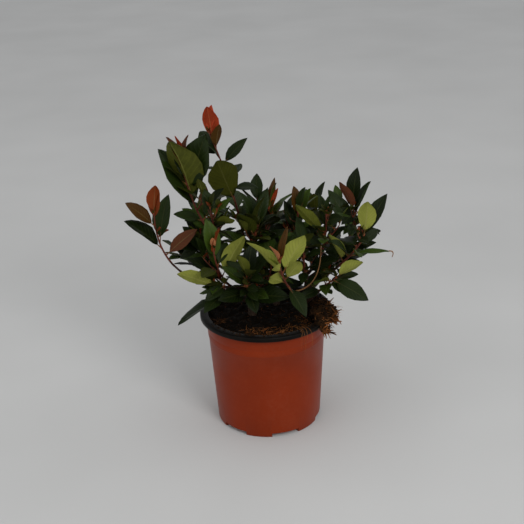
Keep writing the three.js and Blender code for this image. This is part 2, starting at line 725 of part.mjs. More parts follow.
// One mass of foliage: its shoot, its leaves, and the twigs that the seeded rule gives it.
class Mass {
  constructor(shoot, line, index) {
    this.shoot = shoot;
    this.line = line;
    this.dice = new Dice(SEED + index);
    this.parts = [];
    this.from = shoot.bare + GAP / 2 / line.length;
  }

  // Where a leaf at a share of the shoot's line has its foot and its root.
  seat(share) {
    return { foot: this.line.at(share), root: this.line.onFacets(share, this.from, FACETS.shoot.steps) };
  }

  // Places a leaf, turned aside or tilted until it is clear, or leaves it out.
  place(crown, seat, pose, listed = false) {
    const { name } = this.shoot;
    for (const [tilt, turn] of TILTS.flatMap((a) => TURNS.map((b) => [a, b]))) {
      const leaf = new Leaf(seat, { ...pose, bearing: pose.bearing + turn, lift: pose.lift + tilt });
      const cloud = leaf.cloud();
      if (!crown.admitsLeaf(cloud, name, listed)) continue;
      crown.leaves.push({ cloud, owner: name });
      this.parts.push(leaf.solid());
      return;
    }
  }

  habit() {
    return { droop: this.dice.between(...LEAF.droop), fold: this.dice.between(...LEAF.fold) };
  }

  // A pose of the spiral: t runs from the lowest leaf, 0, to the highest, 1.
  spiralPose(bearing, t, lengths) {
    return {
      ...this.habit(),
      bearing: bearing + this.dice.spread(SPIRAL.bearingJitter),
      lift: mix(...SPIRAL.lift, t) + this.dice.spread(SPIRAL.liftJitter),
      length: mix(...lengths, t) * (1 + this.dice.spread(LEAF.lengthJitter)),
      roll: this.dice.spread(LEAF.rollJitter),
    };
  }

  growLeaves(crown) {
    const { leaves, count, spiral, bare } = this.shoot;
    const total = leaves ? leaves.length : count;
    for (let i = 0; i < total; i++) {
      const t = i / (total - 1);
      const seat = this.seat(mix(bare + SHOOT.lowest, SHOOT.highest, t ** SHOOT.crowd));
      if (leaves) {
        const [bearing, lift, length, roll] = leaves[i];
        const pose = { ...this.habit(), droop: LEAF.listedDroop, bearing, lift, length, roll };
        this.place(crown, seat, pose, true);
      } else {
        this.place(crown, seat, this.spiralPose(spiral + i * SPIRAL.turn, t, SPIRAL.leaf));
      }
    }
  }

  growTwigs(crown) {
    const { twigs, bare, name } = this.shoot;
    for (let i = 0; i < twigs; i++) {
      const foot = this.line.at(mix(bare + SHOOT.lowest, TWIG.highest, (i + 0.5) / twigs));
      const turn = this.dice.between(0, 360);
      const length = this.dice.between(...TWIG.length);
      const lift = this.dice.between(...TWIG.lift);
      for (let side = 0; side < 360; side += TWIG.search) {
        const via = foot.clone().addScaledVector(heading(turn + side, lift), length / 2);
        const tip = via.clone().addScaledVector(heading(turn + side, lift + TWIG.rise), length / 2);
        const line = new Line(foot, via, tip);
        const beads = line.beads(twigRadius, name);
        if (!crown.admitsTwig(beads, name)) continue;
        crown.beads.push(...beads);
        this.parts.push(line.limb(0, 1, twigRadius, FACETS.twig));
        this.growTwigLeaves(crown, line, turn + side);
        break;
      }
    }
  }

  growTwigLeaves(crown, line, bearing) {
    for (let i = 0; i < TWIG.leaves; i++) {
      const t = i / (TWIG.leaves - 1);
      const share = mix(TWIG.lowest, SHOOT.highest, t);
      const seat = { foot: line.at(share), root: line.onFacets(share, 0, FACETS.twig.steps) };
      this.place(crown, seat, this.spiralPose(bearing + TWIG.aside + i * SPIRAL.turn, t, TWIG.leaf));
    }
  }

  solid() {
    const stem = this.line.limb(this.from, 1, shootRadius, FACETS.shoot);
    return largestBody(wasm.Manifold.union([stem, ...this.parts]));
  }
}

const plant = new THREE.Group();
plant.name = "potted_photinia";
plant.add(mesh("pot", makePot(), "terracotta"));
plant.add(mesh("pot_rim", makeRim(), "black"));
plant.add(mesh("peat", makePeat(), "peat"));

const ground = PEAT.level + GAP;
const belowGround = solid(
  turned([
    [0, 0],
    [POT.rimRadius, 0],
    [POT.rimRadius, ground],
    [0, ground],
  ]),
);
const crown = new Crown();
const lines = {};
const neighbours = [];
for (const [name, stem] of Object.entries(STEMS)) {
  const line = new Line(vector([...stem.start, ground]), vector(stem.via), vector(stem.tip));
  const radiusAt = stemRadius(stem);
  const made = line.limb(-STEM.sunk, 1, radiusAt, FACETS.stem);
  lines[name] = line;
  crown.beads.push(...line.beads(radiusAt, name));
  plant.add(mesh(name, made.subtract(belowGround), "bark"));
  neighbours.push(line.limb(-STEM.sunk, 1, radiusAt, FACETS.stem, LIMB_GAP));
}
for (const shoot of SHOOTS) {
  const line = new Line(lines[shoot.parent].at(shoot.share), vector(shoot.via), vector(shoot.tip));
  const root = shoot.share < 1 ? SHOOT.sunk / line.length : 0;
  const bare = shoot.bare - GAP / 2 / line.length;
  const whole = line.limb(root, bare, shootRadius, FACETS.bough);
  const bough = neighbours.reduce((made, neighbour) => made.subtract(neighbour), whole);
  lines[shoot.name] = line;
  crown.beads.push(...line.beads(shootRadius, shoot.name));
  plant.add(mesh(`bough_${shoot.name}`, largestBody(bough), "bark"));
  neighbours.push(line.limb(0, bare, shootRadius, FACETS.bough, LIMB_GAP));
}
const masses = SHOOTS.map((shoot, i) => new Mass(shoot, lines[shoot.name], i));
for (const mass of masses) mass.growLeaves(crown);
for (const mass of masses) mass.growTwigs(crown);
for (const mass of masses) {
  const finish = mass.shoot.young > 1 ? "tip" : "leaf";
  plant.add(mesh(`foliage_${mass.shoot.name}`, mass.solid(), finish));
}

export default plant;
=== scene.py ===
"""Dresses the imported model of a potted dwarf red-tip photinia.

The plant grows here by the rule of the part's source and is carried on to petioles, buds, young
leaves and filler. Lengths are in millimetres unless a comment says otherwise, and meshes are made
in metres.
"""

import json
import logging
import math
from dataclasses import dataclass, field
from enum import Enum
from typing import Callable, Iterable, Sequence

import bmesh
import bpy
import numpy as np
from mathutils import Matrix, Vector, noise

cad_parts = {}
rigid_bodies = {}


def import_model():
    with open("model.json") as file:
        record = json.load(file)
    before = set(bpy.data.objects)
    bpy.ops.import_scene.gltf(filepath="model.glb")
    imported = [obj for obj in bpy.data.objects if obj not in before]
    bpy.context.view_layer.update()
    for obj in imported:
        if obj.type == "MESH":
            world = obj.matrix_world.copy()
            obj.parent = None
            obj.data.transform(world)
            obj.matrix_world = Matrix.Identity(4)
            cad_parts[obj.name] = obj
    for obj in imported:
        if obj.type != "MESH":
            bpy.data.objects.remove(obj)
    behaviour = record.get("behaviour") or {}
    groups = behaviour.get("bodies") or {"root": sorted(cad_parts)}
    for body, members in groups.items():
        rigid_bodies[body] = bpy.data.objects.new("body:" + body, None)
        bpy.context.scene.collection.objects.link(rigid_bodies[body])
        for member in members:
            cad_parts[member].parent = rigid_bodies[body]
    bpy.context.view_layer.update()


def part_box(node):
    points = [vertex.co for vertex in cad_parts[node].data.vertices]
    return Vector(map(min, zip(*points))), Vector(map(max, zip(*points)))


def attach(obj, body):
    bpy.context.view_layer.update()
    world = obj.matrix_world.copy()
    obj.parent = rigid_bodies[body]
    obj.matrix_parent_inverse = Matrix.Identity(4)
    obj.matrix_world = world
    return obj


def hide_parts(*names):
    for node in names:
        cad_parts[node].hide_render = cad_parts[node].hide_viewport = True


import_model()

LOG = logging.getLogger("photinia")
MM = 0.001
SEED = 700
# Air between neighbouring solids, in millimetres.
GAP = 0.3

Pair = tuple[float, float]
Triple = tuple[float, float, float]
Colour = Triple
Socket = bpy.types.NodeSocket
Array = np.ndarray

# Sizes that the part's source has too, in millimetres.
POT_HEIGHT = 170
RIM_RADIUS = 95
TOP_RADIUS = 87
FOOT_RADIUS = 76
WALL = 1.6
WALL_TOP = 168.2
BAND_HEIGHT = 134
BAND_STEP = 0.7
SKIRT_FOOT = 140
SKIRT = 1.2
PEAT_LEVEL = 161
PEAT_BOTTOM = 8
FLARE_FADE = 9


@dataclass(frozen=True)
class Stem:
    """A woody stem that leaves the peat.

    Args:
        name: Its CAD node.
        start: Its place in the peat's surface, across and back.
        via: The middle point that bends its centre line.
        tip: Its upper end.
        foot: Radius at the peat.
        top: Radius at the tip.
        flare: What the foot gains where it meets the peat.
    """

    name: str
    start: Pair
    via: Triple
    tip: Triple
    foot: float
    top: float
    flare: float

    def radius(self, share: float) -> float:
        """Its radius at a share of its length."""
        taper = self.foot + (self.top - self.foot) * share
        return taper + self.flare * math.exp(-share * FLARE_FADE)


@dataclass(frozen=True)
class Shoot:
    """One shoot: a bare bough, then the stem of a leafy mass.

    Args:
        name: What its bough and its mass are called after bough_ and foliage_.
        parent: The stem or shoot that it leaves.
        share: How far up its parent it leaves.
        via: The middle point that bends it.
        tip: Its end.
        bare: The share of it that bears no leaves.
        twigs: How many side twigs its mass grows.
        tints: One letter of Tint for each leaf, from the lowest up.
        leaves: Bearing, lift, length and roll of each leaf that the photograph shows.
        spiral: The first bearing of a shoot whose leaves follow the spiral.
    """

    name: str
    parent: str
    share: float
    via: Triple
    tip: Triple
    bare: float
    twigs: int
    tints: str = ""
    leaves: tuple[tuple[float, float, float, float], ...] = ()
    spiral: float = 0


STEMS = (
    Stem("stem_left", (-20, 2), (-22, 4, 200), (-24, 2, 240), 5.2, 3.2, 1.8),
    Stem("stem_middle", (16, 34), (17, 36, 200), (12, 34, 234), 4, 2.8, 1.4),
    Stem("stem_right", (56, 2), (60, -2, 196), (60, 0, 228), 4.4, 3, 1.5),
)
SHOOTS = (
    Shoot("top", "stem_left", 1, (-26, 18, 315), (-68, 10, 432), 0.3, 1, "dmoddddddbrr", (
        (50, 10, 56, 50), (100, 25, 50, 0), (240, 60, 88, 50), (110, 75, 34, -30), (330, 15, 38, 20),
        (60, 25, 36, 10), (190, 25, 28, 0), (0, 50, 44, 40), (135, 35, 46, -60), (290, 78, 36, 10),
        (215, 85, 46, 40), (70, 80, 34, -10))),
    Shoot("upper_left", "stem_left", 0.86, (-97, 6, 287), (-109, 5, 405), 0.36, 1, "mddmdduur", (
        (170, 50, 45, -30), (50, 45, 49, 10), (155, 64, 90, -20), (195, 80, 86, 40), (350, 76, 76, 80),
        (150, 70, 50, -30), (160, 75, 50, 0), (60, 75, 37, -30), (150, 85, 25, 60))),
    Shoot("small_left", "upper_left", 0.28, (-66, -26, 290), (-69, -48, 344), 0.5, 0, "mmdo", (
        (255, 45, 30, -60), (335, 20, 33, -60), (235, 80, 30, -60), (340, 80, 21, 60))),
    Shoot("far_left", "stem_left", 0.52, (-151, -16, 212), (-147, -26, 331), 0.62, 0, "uddaabaa", (
        (345, 45, 53, 70), (195, 52, 59, -30), (60, 76, 60, 0), (65, 10, 23, -60), (290, 40, 18, 60),
        (190, 50, 46, -40), (40, 85, 40, 20), (315, 85, 41, -20))),
    Shoot("front_left", "stem_left", 0.4, (-64, -43, 221), (-67, -72, 294), 0.42, 1, "dfmdmas", (
        (190, 45, 58, -30), (0, 68, 62, -60), (175, 75, 45, -30), (60, 50, 34, 20), (170, 85, 54, -50),
        (295, 80, 38, 60), (275, 70, 23, 0))),
    Shoot("left_mid", "stem_left", 0.72, (-91, 18, 233), (-88, 10, 288), 0.4, 1, "mdmdmd", (
        (180, 15, 44, -20), (205, 60, 52, -60), (85, 55, 44, -30), (145, 64, 50, -10),
        (105, 80, 46, 20), (315, 60, 44, -30))),
    Shoot("low_left", "stem_left", 0.22, (-52, -54, 218), (-69, -62, 238), 0.4, 0, "ddmfm", (
        (205, -8, 76, 10), (235, -5, 44, -10), (150, 10, 36, 10), (187, 32, 54, 70), (80, 65, 26, -40))),
    Shoot("low_front", "stem_left", 0.14, (-26, -47, 208), (-24, -62, 249), 0.4, 0, "dddmddm", (
        (330, 15, 56, 40), (220, 15, 50, -40), (285, -10, 42, 10), (185, 50, 44, -50), (35, 50, 46, 10),
        (95, 75, 46, 20), (240, 70, 40, 0))),
    Shoot("front_mid", "stem_right", 0.34, (25, -71, 226), (20, -94, 282), 0.45, 0, "dffffffbs", (
        (300, -25, 46, 10), (230, 35, 42, 70), (320, 52, 44, -60), (190, 58, 66, 30),
        (345, 66, 62, -60), (245, 40, 30, 50), (140, 45, 33, 0), (40, 80, 47, 0), (200, 70, 26, 20))),
    Shoot("inner_left", "stem_left", 0.95, (-8, -6, 262), (-12, -18, 306), 0.3, 1, "dmdddddd", (
        (20, 20, 50, 40), (200, 40, 50, -30), (330, 35, 56, 20), (110, 60, 60, 0), (230, 60, 52, 20),
        (40, 70, 58, 30), (165, 80, 50, -30), (320, 75, 44, 20))),
    Shoot("inner_front", "stem_left", 0.32, (4, -24, 204), (10, -34, 252), 0.4, 0, "ddmdmdd", (
        (20, 5, 54, 20), (250, 10, 50, 0), (150, 30, 50, -20), (330, 35, 52, 30), (90, 60, 56, 0),
        (220, 60, 48, -20), (10, 70, 46, 20))),
    Shoot("inner_right", "stem_right", 0.68, (56, -26, 232), (54, -34, 284), 0.36, 0, "dmmdmdd", (
        (10, 10, 50, 30), (200, 20, 50, -30), (110, 40, 54, 0), (320, 35, 34, 30), (180, 45, 46, -40),
        (100, 65, 40, 20), (250, 30, 30, 0))),
    Shoot("middle", "stem_middle", 1, (-3, 38, 251), (10, 18, 317), 0.4, 1, "ddddrbdd", (
        (205, 55, 46, -80), (340, 25, 43, 50), (195, 60, 51, -60), (285, 45, 44, -30),
        (185, 80, 50, -60), (10, 80, 52, 75), (270, 85, 34, -60), (350, 80, 36, -40))),
    Shoot("centre", "stem_middle", 0.8, (45, 27, 254), (50, 4, 315), 0.42, 1, "dddmbd", (
        (220, 40, 47, -60), (325, 30, 41, 60), (165, 75, 40, -40), (5, 75, 49, 30), (90, 80, 40, 30),
        (330, 80, 34, 60))),
    Shoot("right_mid", "stem_right", 0.9, (90, -18, 254), (87, -26, 324), 0.4, 1, "ddmddd", (
        (215, 15, 44, -60), (30, 5, 43, 50), (205, 55, 68, 60), (100, 70, 44, 30), (295, 25, 35, 70),
        (45, 75, 24, -20))),
    Shoot("right_high", "stem_right", 0.77, (140, 8, 266), (126, 0, 322), 0.5, 1, "ddddud", (
        (15, 10, 44, 20), (180, 65, 57, -50), (255, 0, 30, -20), (330, 75, 52, 40), (205, 70, 49, 20),
        (70, 85, 48, -10))),
    Shoot("right", "stem_right", 0.56, (123, -47, 261), (136, -48, 296), 0.42, 0, "fmmdddf", (
        (200, 60, 42, 40), (345, 20, 49, 10), (280, 20, 36, -40), (95, 5, 41, -20), (45, 10, 43, 60),
        (5, 65, 62, 0), (295, 75, 54, -40))),
    Shoot("low_right", "stem_right", 0.2, (81, -42, 220), (97, -58, 240), 0.45, 0, "dmmdf", (
        (215, 0, 36, -30), (30, -10, 42, 60), (120, 15, 34, -40), (305, 0, 54, 50), (355, 38, 40, -60))),
    Shoot("back_left", "stem_left", 0.6, (-64, 56, 224), (-88, 78, 290), 0.4, 1, "dddddmdmb", spiral=35),
    Shoot("back_low_left", "stem_left", 0.3, (-60, 44, 196), (-118, 46, 236), 0.5, 1, "ddmddmm", spiral=140),
    Shoot("back_mid", "stem_middle", 0.6, (0, 84, 226), (-6, 98, 296), 0.42, 1, "ddddmdddd", spiral=80),
    Shoot("back_right", "stem_middle", 0.42, (70, 66, 214), (80, 86, 290), 0.45, 1, "dddddmdmd", spiral=10),
    Shoot("back_low_right", "stem_right", 0.38, (90, 44, 200), (134, 54, 246), 0.5, 1, "ddmddmm", spiral=20),
)


class Tint(Enum):
    """The colour of a leaf, by the letter that a shoot's tints give it."""

    DEEP = "d"
    MID = "m"
    FRESH = "f"
    OLIVE = "o"
    BRONZE = "b"
    RED = "r"
    ORANGE = "a"
    DUSTY = "u"
    SALMON = "s"


# The growth rule, with the values of the part's source. Lengths are in millimetres.
# A pair runs from the lowest leaf to the highest, or from the least to the most.
LENGTH_STEPS = 200
SHOOT_RADII = (2.3, 0.9)
TWIG_RADII = (1.2, 0.7)
# The tests of clearance: the beads' distance, the least gaps, and the turns and tilts tried.
CLEAR_BEAD = 4
CLEAR_OTHER = 5.5
CLEAR_OWN = 2.5
CLEAR_LIMB = 3
CLEAR_TWIG = 2
CLEAR_RIM = 3
LOWEST_TIP = 135
TURNS = (0, 12, -12, 24, -24, 38, -38)
TILTS = (0, 12, -12, 24)
# Where the tests look at a leaf, along it and across it.
LEAF_SHARES = (0.08, 0.22, 0.36, 0.5, 0.64, 0.78, 0.9, 1)
LEAF_SIDES = (-1, -0.5, 0, 0.5, 1)
# Where leaves and twigs leave their limb, as shares of it.
LOWEST_NODE = 0.06
HIGHEST_NODE = 0.99
CROWD = 0.85
# The spiral that leaves follow.
SPIRAL_TURN = 137.5
SPIRAL_LIFT = (18, 74)
SPIRAL_LEAF = (56, 38)
# Side twigs.
TWIG_LENGTH = (26, 38)
TWIG_LIFT = (34, 62)
TWIG_RISE = 14
TWIG_SEARCH = 45
TWIG_HIGHEST = 0.8
TWIG_LEAVES = 3
TWIG_LEAF = (42, 28)
TWIG_LOWEST = 0.4
TWIG_ASIDE = 60
TWIG_ROOT = 8
# How far a leaf strays from its spiral.
SPREAD = {"bearing": 9, "lift": 8, "length": 0.08, "roll": 20}
# A blade's width and petiole as shares of its length, its outline, and its curve in degrees.
BLADE_WIDTH = 0.48
WIDEST = 0.88
FULLNESS = 0.85
PETIOLE = 0.16
DROOP = (12, 30)
LISTED_DROOP = 20
FOLD = (10, 22)


class Dice:
    """A small seeded generator, the same as the part's source has."""

    MASK = 0xFFFFFFFF
    STRIDE = 0x6D2B79F5

    def __init__(self, seed: int) -> None:
        """Starts at a seed."""
        self.state = seed & self.MASK

    def _product(self, a: int, b: int) -> int:
        """The low 32 bits of a product."""
        return (a * b) & self.MASK

    def roll(self) -> float:
        """Draws the next number.

        Returns:
            A number from 0 up to 1.
        """
        self.state = (self.state + self.STRIDE) & self.MASK
        t = self.state
        t = self._product(t ^ (t >> 15), t | 1)
        t ^= (t + self._product(t ^ (t >> 7), t | 61)) & self.MASK
        return (t ^ (t >> 14)) / (self.MASK + 1)

    def spread(self, reach: float) -> float:
        """A number within reach of 0."""
        return (self.roll() * 2 - 1) * reach

    def between(self, low: float, high: float) -> float:
        """A number between two limits."""
        return low + (high - low) * self.roll()


def mix(a: float, b: float, t: float) -> float:
    """The value a share t of the way from a to b."""
    return a + (b - a) * t


def heading(bearing: float, lift: float) -> Array:
    """Which way something points.

    Args:
        bearing: Degrees from the X axis towards the Y axis.
        lift: Degrees above level.

    Returns:
        A unit vector.
    """
    turn, rise = math.radians(bearing), math.radians(lift)
    level = math.cos(rise)
    return np.array([math.cos(turn) * level, math.sin(turn) * level, math.sin(rise)])


def unit(v: Array) -> Array:
    """The vector at length 1."""
    return v / np.linalg.norm(v)


def turned(v: Array, axis: Array, degrees: float) -> Array:
    """The vector turned about a unit axis."""
    cosine, sine = math.cos(math.radians(degrees)), math.sin(math.radians(degrees))
    return v * cosine + np.cross(axis, v) * sine + axis * float(axis @ v) * (1 - cosine)


class Line:
    """The centre line of a limb, bent in one plane so that its sections don't twist."""

    def __init__(self, start: Sequence[float], via: Sequence[float], tip: Sequence[float]) -> None:
        """Works out the line's bend and length.

        Args:
            start: Where it begins.
            via: The point that bends it.
            tip: Where it ends.
        """
        self.start = np.array(start, float)
        self.via = np.array(via, float)
        self.tip = np.array(tip, float)
        self.out = self.via - self.start
        self.bend = self.tip - self.via - self.out
        across = np.cross(self.out, self.tip - self.start)
        self.across = unit(across) if np.linalg.norm(across) >= 1 else np.array([0.0, 1.0, 0.0])
        steps = np.array([self.at(i / LENGTH_STEPS) for i in range(LENGTH_STEPS + 1)])
        self.length = float(np.linalg.norm(np.diff(steps, axis=0), axis=1).sum())

    def at(self, share: float) -> Array:
        """The point at a share of the line."""
        rest = 1 - share
        return rest * rest * self.start + 2 * rest * share * self.via + share * share * self.tip

    def along(self, share: float) -> Array:
        """Which way the line runs at a share of it."""
        return unit(self.out + self.bend * share)

    def beads(self, radius: Callable[[float], float]) -> tuple[Array, Array]:
        """Sets beads along the line for the tests of clearance.

        Args:
            radius: The limb's radius at a share of the line.

        Returns:
            The beads' middles, and the limb's radius at each.
        """
        count = math.ceil(self.length / CLEAR_BEAD)
        shares = [i / count for i in range(count + 1)]
        return np.array([self.at(s) for s in shares]), np.array([radius(s) for s in shares])


def taper(radii: Pair) -> Callable[[float], float]:
    """A limb's radius by the share of its length, from its radii at foot and tip."""
    return lambda share: mix(*radii, share)


def sprig(foot: Array, length: float, low: Pair, high: Pair) -> Line:
    """A line of two equal reaches, each with its own bearing and lift."""
    via = foot + heading(*low) * length / 2
    return Line(foot, via, via + heading(*high) * length / 2)


def blade_width(share: Array, widest: float, fullness: float) -> Array:
    """A blade's width at a share of its length, as a share of its greatest."""
    return np.maximum(np.sin(np.pi * share**widest), 0) ** fullness


@dataclass
class Leaf:
    """One leaf: its foot on a limb, its heading, and a face that looks up and inwards.

    Args:
        foot: Where its petiole leaves the limb's centre line.
        bearing: Compass bearing of its blade.
        lift: Degrees above level.
        length: Of the blade.
        roll: Degrees that its face is turned about its heading.
        droop: Degrees that the blade curves down by, from base to tip.
        fold: Degrees that each half is folded up by.
        tint: Its colour.
    """

    foot: Array
    bearing: float
    lift: float
    length: float
    roll: float
    droop: float
    fold: float
    tint: Tint = Tint.DEEP
    direction: Array = field(init=False)
    face: Array = field(init=False)
    side: Array = field(init=False)

    def __post_init__(self) -> None:
        """Works out the blade's own axes."""
        self.direction = heading(self.bearing, self.lift)
        face = np.array([0.0, 0.0, 1.0]) - self.direction * self.direction[2]
        self.face = unit(face)
        self.turn(self.roll)

    def turn(self, degrees: float) -> None:
        """Turns the blade about its own line."""
        self.face = turned(self.face, self.direction, degrees)
        self.side = np.cross(self.direction, self.face)

    def points(
        self, share: Array, side: Array, up: Array, widest: float = WIDEST,
        fullness: float = FULLNESS, width: float = BLADE_WIDTH
    ) -> Array:
        """Points of the blade.

        Args:
            share: How far along the blade, from -1 at the foot through 0 at its base to 1.
            side: How far across, from -1 to 1.
            up: Millimetres off its face.
            widest: Below 1 the widest place is nearer the base.
            fullness: Below 1 the outline is fuller.
            width: The blade's width as a share of its length.

        Returns:
            One row of three numbers for each point.
        """
        droop, fold = math.radians(self.droop), math.tan(math.radians(self.fold))
        turn = droop * np.maximum(share, 0)
        stalk = np.minimum(share, 0) * PETIOLE
        forward = PETIOLE + stalk + np.sin(turn) / droop
        sink = (1 - np.cos(turn)) / droop
        half = self.length * width * blade_width(np.maximum(share, 0), widest, fullness) / 2
        lifted = up + np.abs(side) * half * fold
        return (
            self.foot
            + np.outer(self.length * forward + np.sin(turn) * lifted, self.direction)
            + np.outer(-self.length * sink + np.cos(turn) * lifted, self.face)
            + np.outer(side * half, self.side)
        )

    def cloud(self) -> Array:
        """Points spread over the blade, for the tests of clearance."""
        shares, sides = np.meshgrid(LEAF_SHARES, LEAF_SIDES, indexing="ij")
        return self.points(shares.ravel(), sides.ravel(), np.zeros(shares.size))


def nearest(a: Array, b: Array) -> float:
    """The least distance between two clouds of points."""
    apart = a[:, None, :] - b[None, :, :]
    return math.sqrt(float((apart * apart).sum(axis=2).min()))


class Crown:
    """Keeps every limb and leaf, and says whether something new is clear of them."""

    def __init__(self) -> None:
        """Starts empty."""
        self.limbs: list[tuple[str, Array, Array]] = []
        self.leaves: list[tuple[str, Array, Array, float]] = []

    @staticmethod
    def in_space(points: Array) -> bool:
        """Tests points against the pot and the lowest leaf tips.

        Args:
            points: One row for each.

        Returns:
            True where all are clear of the rim, or beside the pot and not too low.
        """
        away = np.hypot(points[:, 0], points[:, 1])
        floor = np.where(away < RIM_RADIUS + CLEAR_RIM, POT_HEIGHT + CLEAR_RIM, LOWEST_TIP)
        return bool((points[:, 2] >= floor).all())

    @staticmethod
    def _ball(cloud: Array) -> tuple[Array, float]:
        """A ball round a cloud."""
        middle = cloud.mean(axis=0)
        return middle, float(np.linalg.norm(cloud - middle, axis=1).max())

    def clear_of_limbs(self, cloud: Array, owner: str, clearance: float) -> bool:
        """Tests a leaf against the limbs.

        Args:
            cloud: The leaf's points.
            owner: The mass that bears it, whose limbs are left out.
            clearance: The least gap.

        Returns:
            Whether it keeps off every other limb.
        """
        for name, places, radii in self.limbs:
            if name == owner:
                continue
            apart = np.linalg.norm(cloud[:, None, :] - places[None, :, :], axis=2)
            if (apart < radii + clearance).any():
                return False
        return True

    def admits_leaf(
        self, cloud: Array, owner: str, listed: bool, other: float = CLEAR_OTHER,
        own: float = CLEAR_OWN, limb: float = CLEAR_LIMB
    ) -> bool:
        """Tests a leaf against the plant's space, its limbs and its leaves.

        Args:
            cloud: The leaf's points.
            owner: The mass that bears it.
            listed: Whether its shoot lists it, so that its own mass's leaves don't matter.
            other: The least gap to another mass's leaf.
            own: The least gap to a leaf of its own mass.
            limb: The least gap to a limb.

        Returns:
            Whether there is room for it.
        """
        if not self.in_space(cloud) or not self.clear_of_limbs(cloud, owner, limb):
            return False
        middle, reach = self._ball(cloud)
        for name, theirs, centre, radius in self.leaves:
            if listed and name == owner:
                continue
            near = own if name == owner else other
            if np.linalg.norm(centre - middle) > reach + radius + near:
                continue
            if nearest(cloud, theirs) < near:
                return False
        return True

    def admits_twig(self, places: Array, radii: Array) -> bool:
        """Tests a twig against the limbs and leaves.

        Args:
            places: The middles of its beads.
            radii: Its radius at each.

        Returns:
            Whether it touches nothing but its own foot.
        """
        first = math.ceil(TWIG_ROOT / CLEAR_BEAD)
        if not self.in_space(places[first:]):
            return False
        for _, limb, sizes in self.limbs:
            apart = np.linalg.norm(places[first:, None, :] - limb[None, :, :], axis=2)
            if (apart < radii[first:, None] + sizes + CLEAR_TWIG).any():
                return False
        for _, cloud, _, _ in self.leaves:
            apart = np.linalg.norm(places[:, None, :] - cloud[None, :, :], axis=2)
            if (apart < radii[:, None] + CLEAR_TWIG).any():
                return False
        return True

    def keep_leaf(self, cloud: Array, owner: str) -> None:
        """Remembers a leaf."""
        self.leaves.append((owner, cloud, *self._ball(cloud)))


class Mass:
    """One leafy mass: its shoot, its leaves, and the twigs that the seeded rule gives it."""

    def __init__(self, shoot: Shoot, line: Line, crown: Crown, index: int) -> None:
        """Takes its own dice.

        Args:
            shoot: Its shoot.
            line: The shoot's centre line.
            crown: What is there already.
            index: The shoot's place in the list, which seeds the dice.
        """
        self.shoot = shoot
        self.line = line
        self.crown = crown
        self.dice = Dice(SEED + index)
        self.leaves: list[Leaf] = []
        self.twigs: list[Line] = []

    def place(self, foot: Array, pose: dict[str, float], tint: Tint, listed: bool) -> None:
        """Places a leaf, turned aside or tilted until it is clear, where there is room.

        Args:
            foot: Where it leaves its limb's centre line.
            pose: Its bearing, lift, length, roll, droop and fold.
            tint: Its colour.
            listed: Whether its shoot lists it.
        """
        for tilt in TILTS:
            for turn in TURNS:
                trial = {**pose, "bearing": pose["bearing"] + turn, "lift": pose["lift"] + tilt}
                leaf = Leaf(foot=foot, tint=tint, **trial)
                cloud = leaf.cloud()
                if self.crown.admits_leaf(cloud, self.shoot.name, listed):
                    self.crown.keep_leaf(cloud, self.shoot.name)
                    self.leaves.append(leaf)
                    return

    def habit(self) -> dict[str, float]:
        """A droop and a fold."""
        return {"droop": self.dice.between(*DROOP), "fold": self.dice.between(*FOLD)}

    def spiral_pose(self, bearing: float, t: float, lengths: Pair) -> dict[str, float]:
        """Draws a pose of the spiral.

        Args:
            bearing: The spiral's bearing there.
            t: From 0 at the lowest leaf to 1 at the highest.
            lengths: Of the lowest and the highest blade.

        Returns:
            Its bearing, lift, length, roll, droop and fold.
        """
        pose = self.habit()
        pose["bearing"] = bearing + self.dice.spread(SPREAD["bearing"])
        pose["lift"] = mix(*SPIRAL_LIFT, t) + self.dice.spread(SPREAD["lift"])
        pose["length"] = mix(*lengths, t) * (1 + self.dice.spread(SPREAD["length"]))
        pose["roll"] = self.dice.spread(SPREAD["roll"])
        return pose

    def grow_leaves(self) -> None:
        """Places the shoot's own leaves, from the lowest up."""
        shoot = self.shoot
        total = len(shoot.tints)
        for i, letter in enumerate(shoot.tints):
            t = i / (total - 1)
            foot = self.line.at(mix(shoot.bare + LOWEST_NODE, HIGHEST_NODE, t**CROWD))
            if shoot.leaves:
                bearing, lift, length, roll = shoot.leaves[i]
                pose = {**self.habit(), "droop": LISTED_DROOP, "bearing": bearing}
                pose.update(lift=lift, length=length, roll=roll)
                self.place(foot, pose, Tint(letter), True)
            else:
                pose = self.spiral_pose(shoot.spiral + i * SPIRAL_TURN, t, SPIRAL_LEAF)
                self.place(foot, pose, Tint(letter), False)

    def grow_twigs(self) -> None:
        """Grows the side twigs where they are clear, each with its leaves."""
        shoot = self.shoot
        for i in range(shoot.twigs):
            share = mix(shoot.bare + LOWEST_NODE, TWIG_HIGHEST, (i + 0.5) / shoot.twigs)
            foot = self.line.at(share)
            turn = self.dice.between(0, 360)
            length = self.dice.between(*TWIG_LENGTH)
            lift = self.dice.between(*TWIG_LIFT)
            for side in range(0, 360, TWIG_SEARCH):
                bearing = turn + side
                line = sprig(foot, length, (bearing, lift), (bearing, lift + TWIG_RISE))
                places, radii = line.beads(taper(TWIG_RADII))
                if self.crown.admits_twig(places, radii):
                    self.crown.limbs.append((shoot.name, places, radii))
                    self.twigs.append(line)
                    self.grow_twig_leaves(line, bearing)
                    break

    def grow_twig_leaves(self, line: Line, bearing: float) -> None:
        """Places a twig's leaves up its spiral.

        Args:
            line: The twig's centre line.
            bearing: The twig's bearing.
        """
        for i in range(TWIG_LEAVES):
            t = i / (TWIG_LEAVES - 1)
            foot = line.at(mix(TWIG_LOWEST, HIGHEST_NODE, t))
            pose = self.spiral_pose(bearing + TWIG_ASIDE + i * SPIRAL_TURN, t, TWIG_LEAF)
            self.place(foot, pose, Tint.OLIVE if t < 1 else Tint.MID, False)


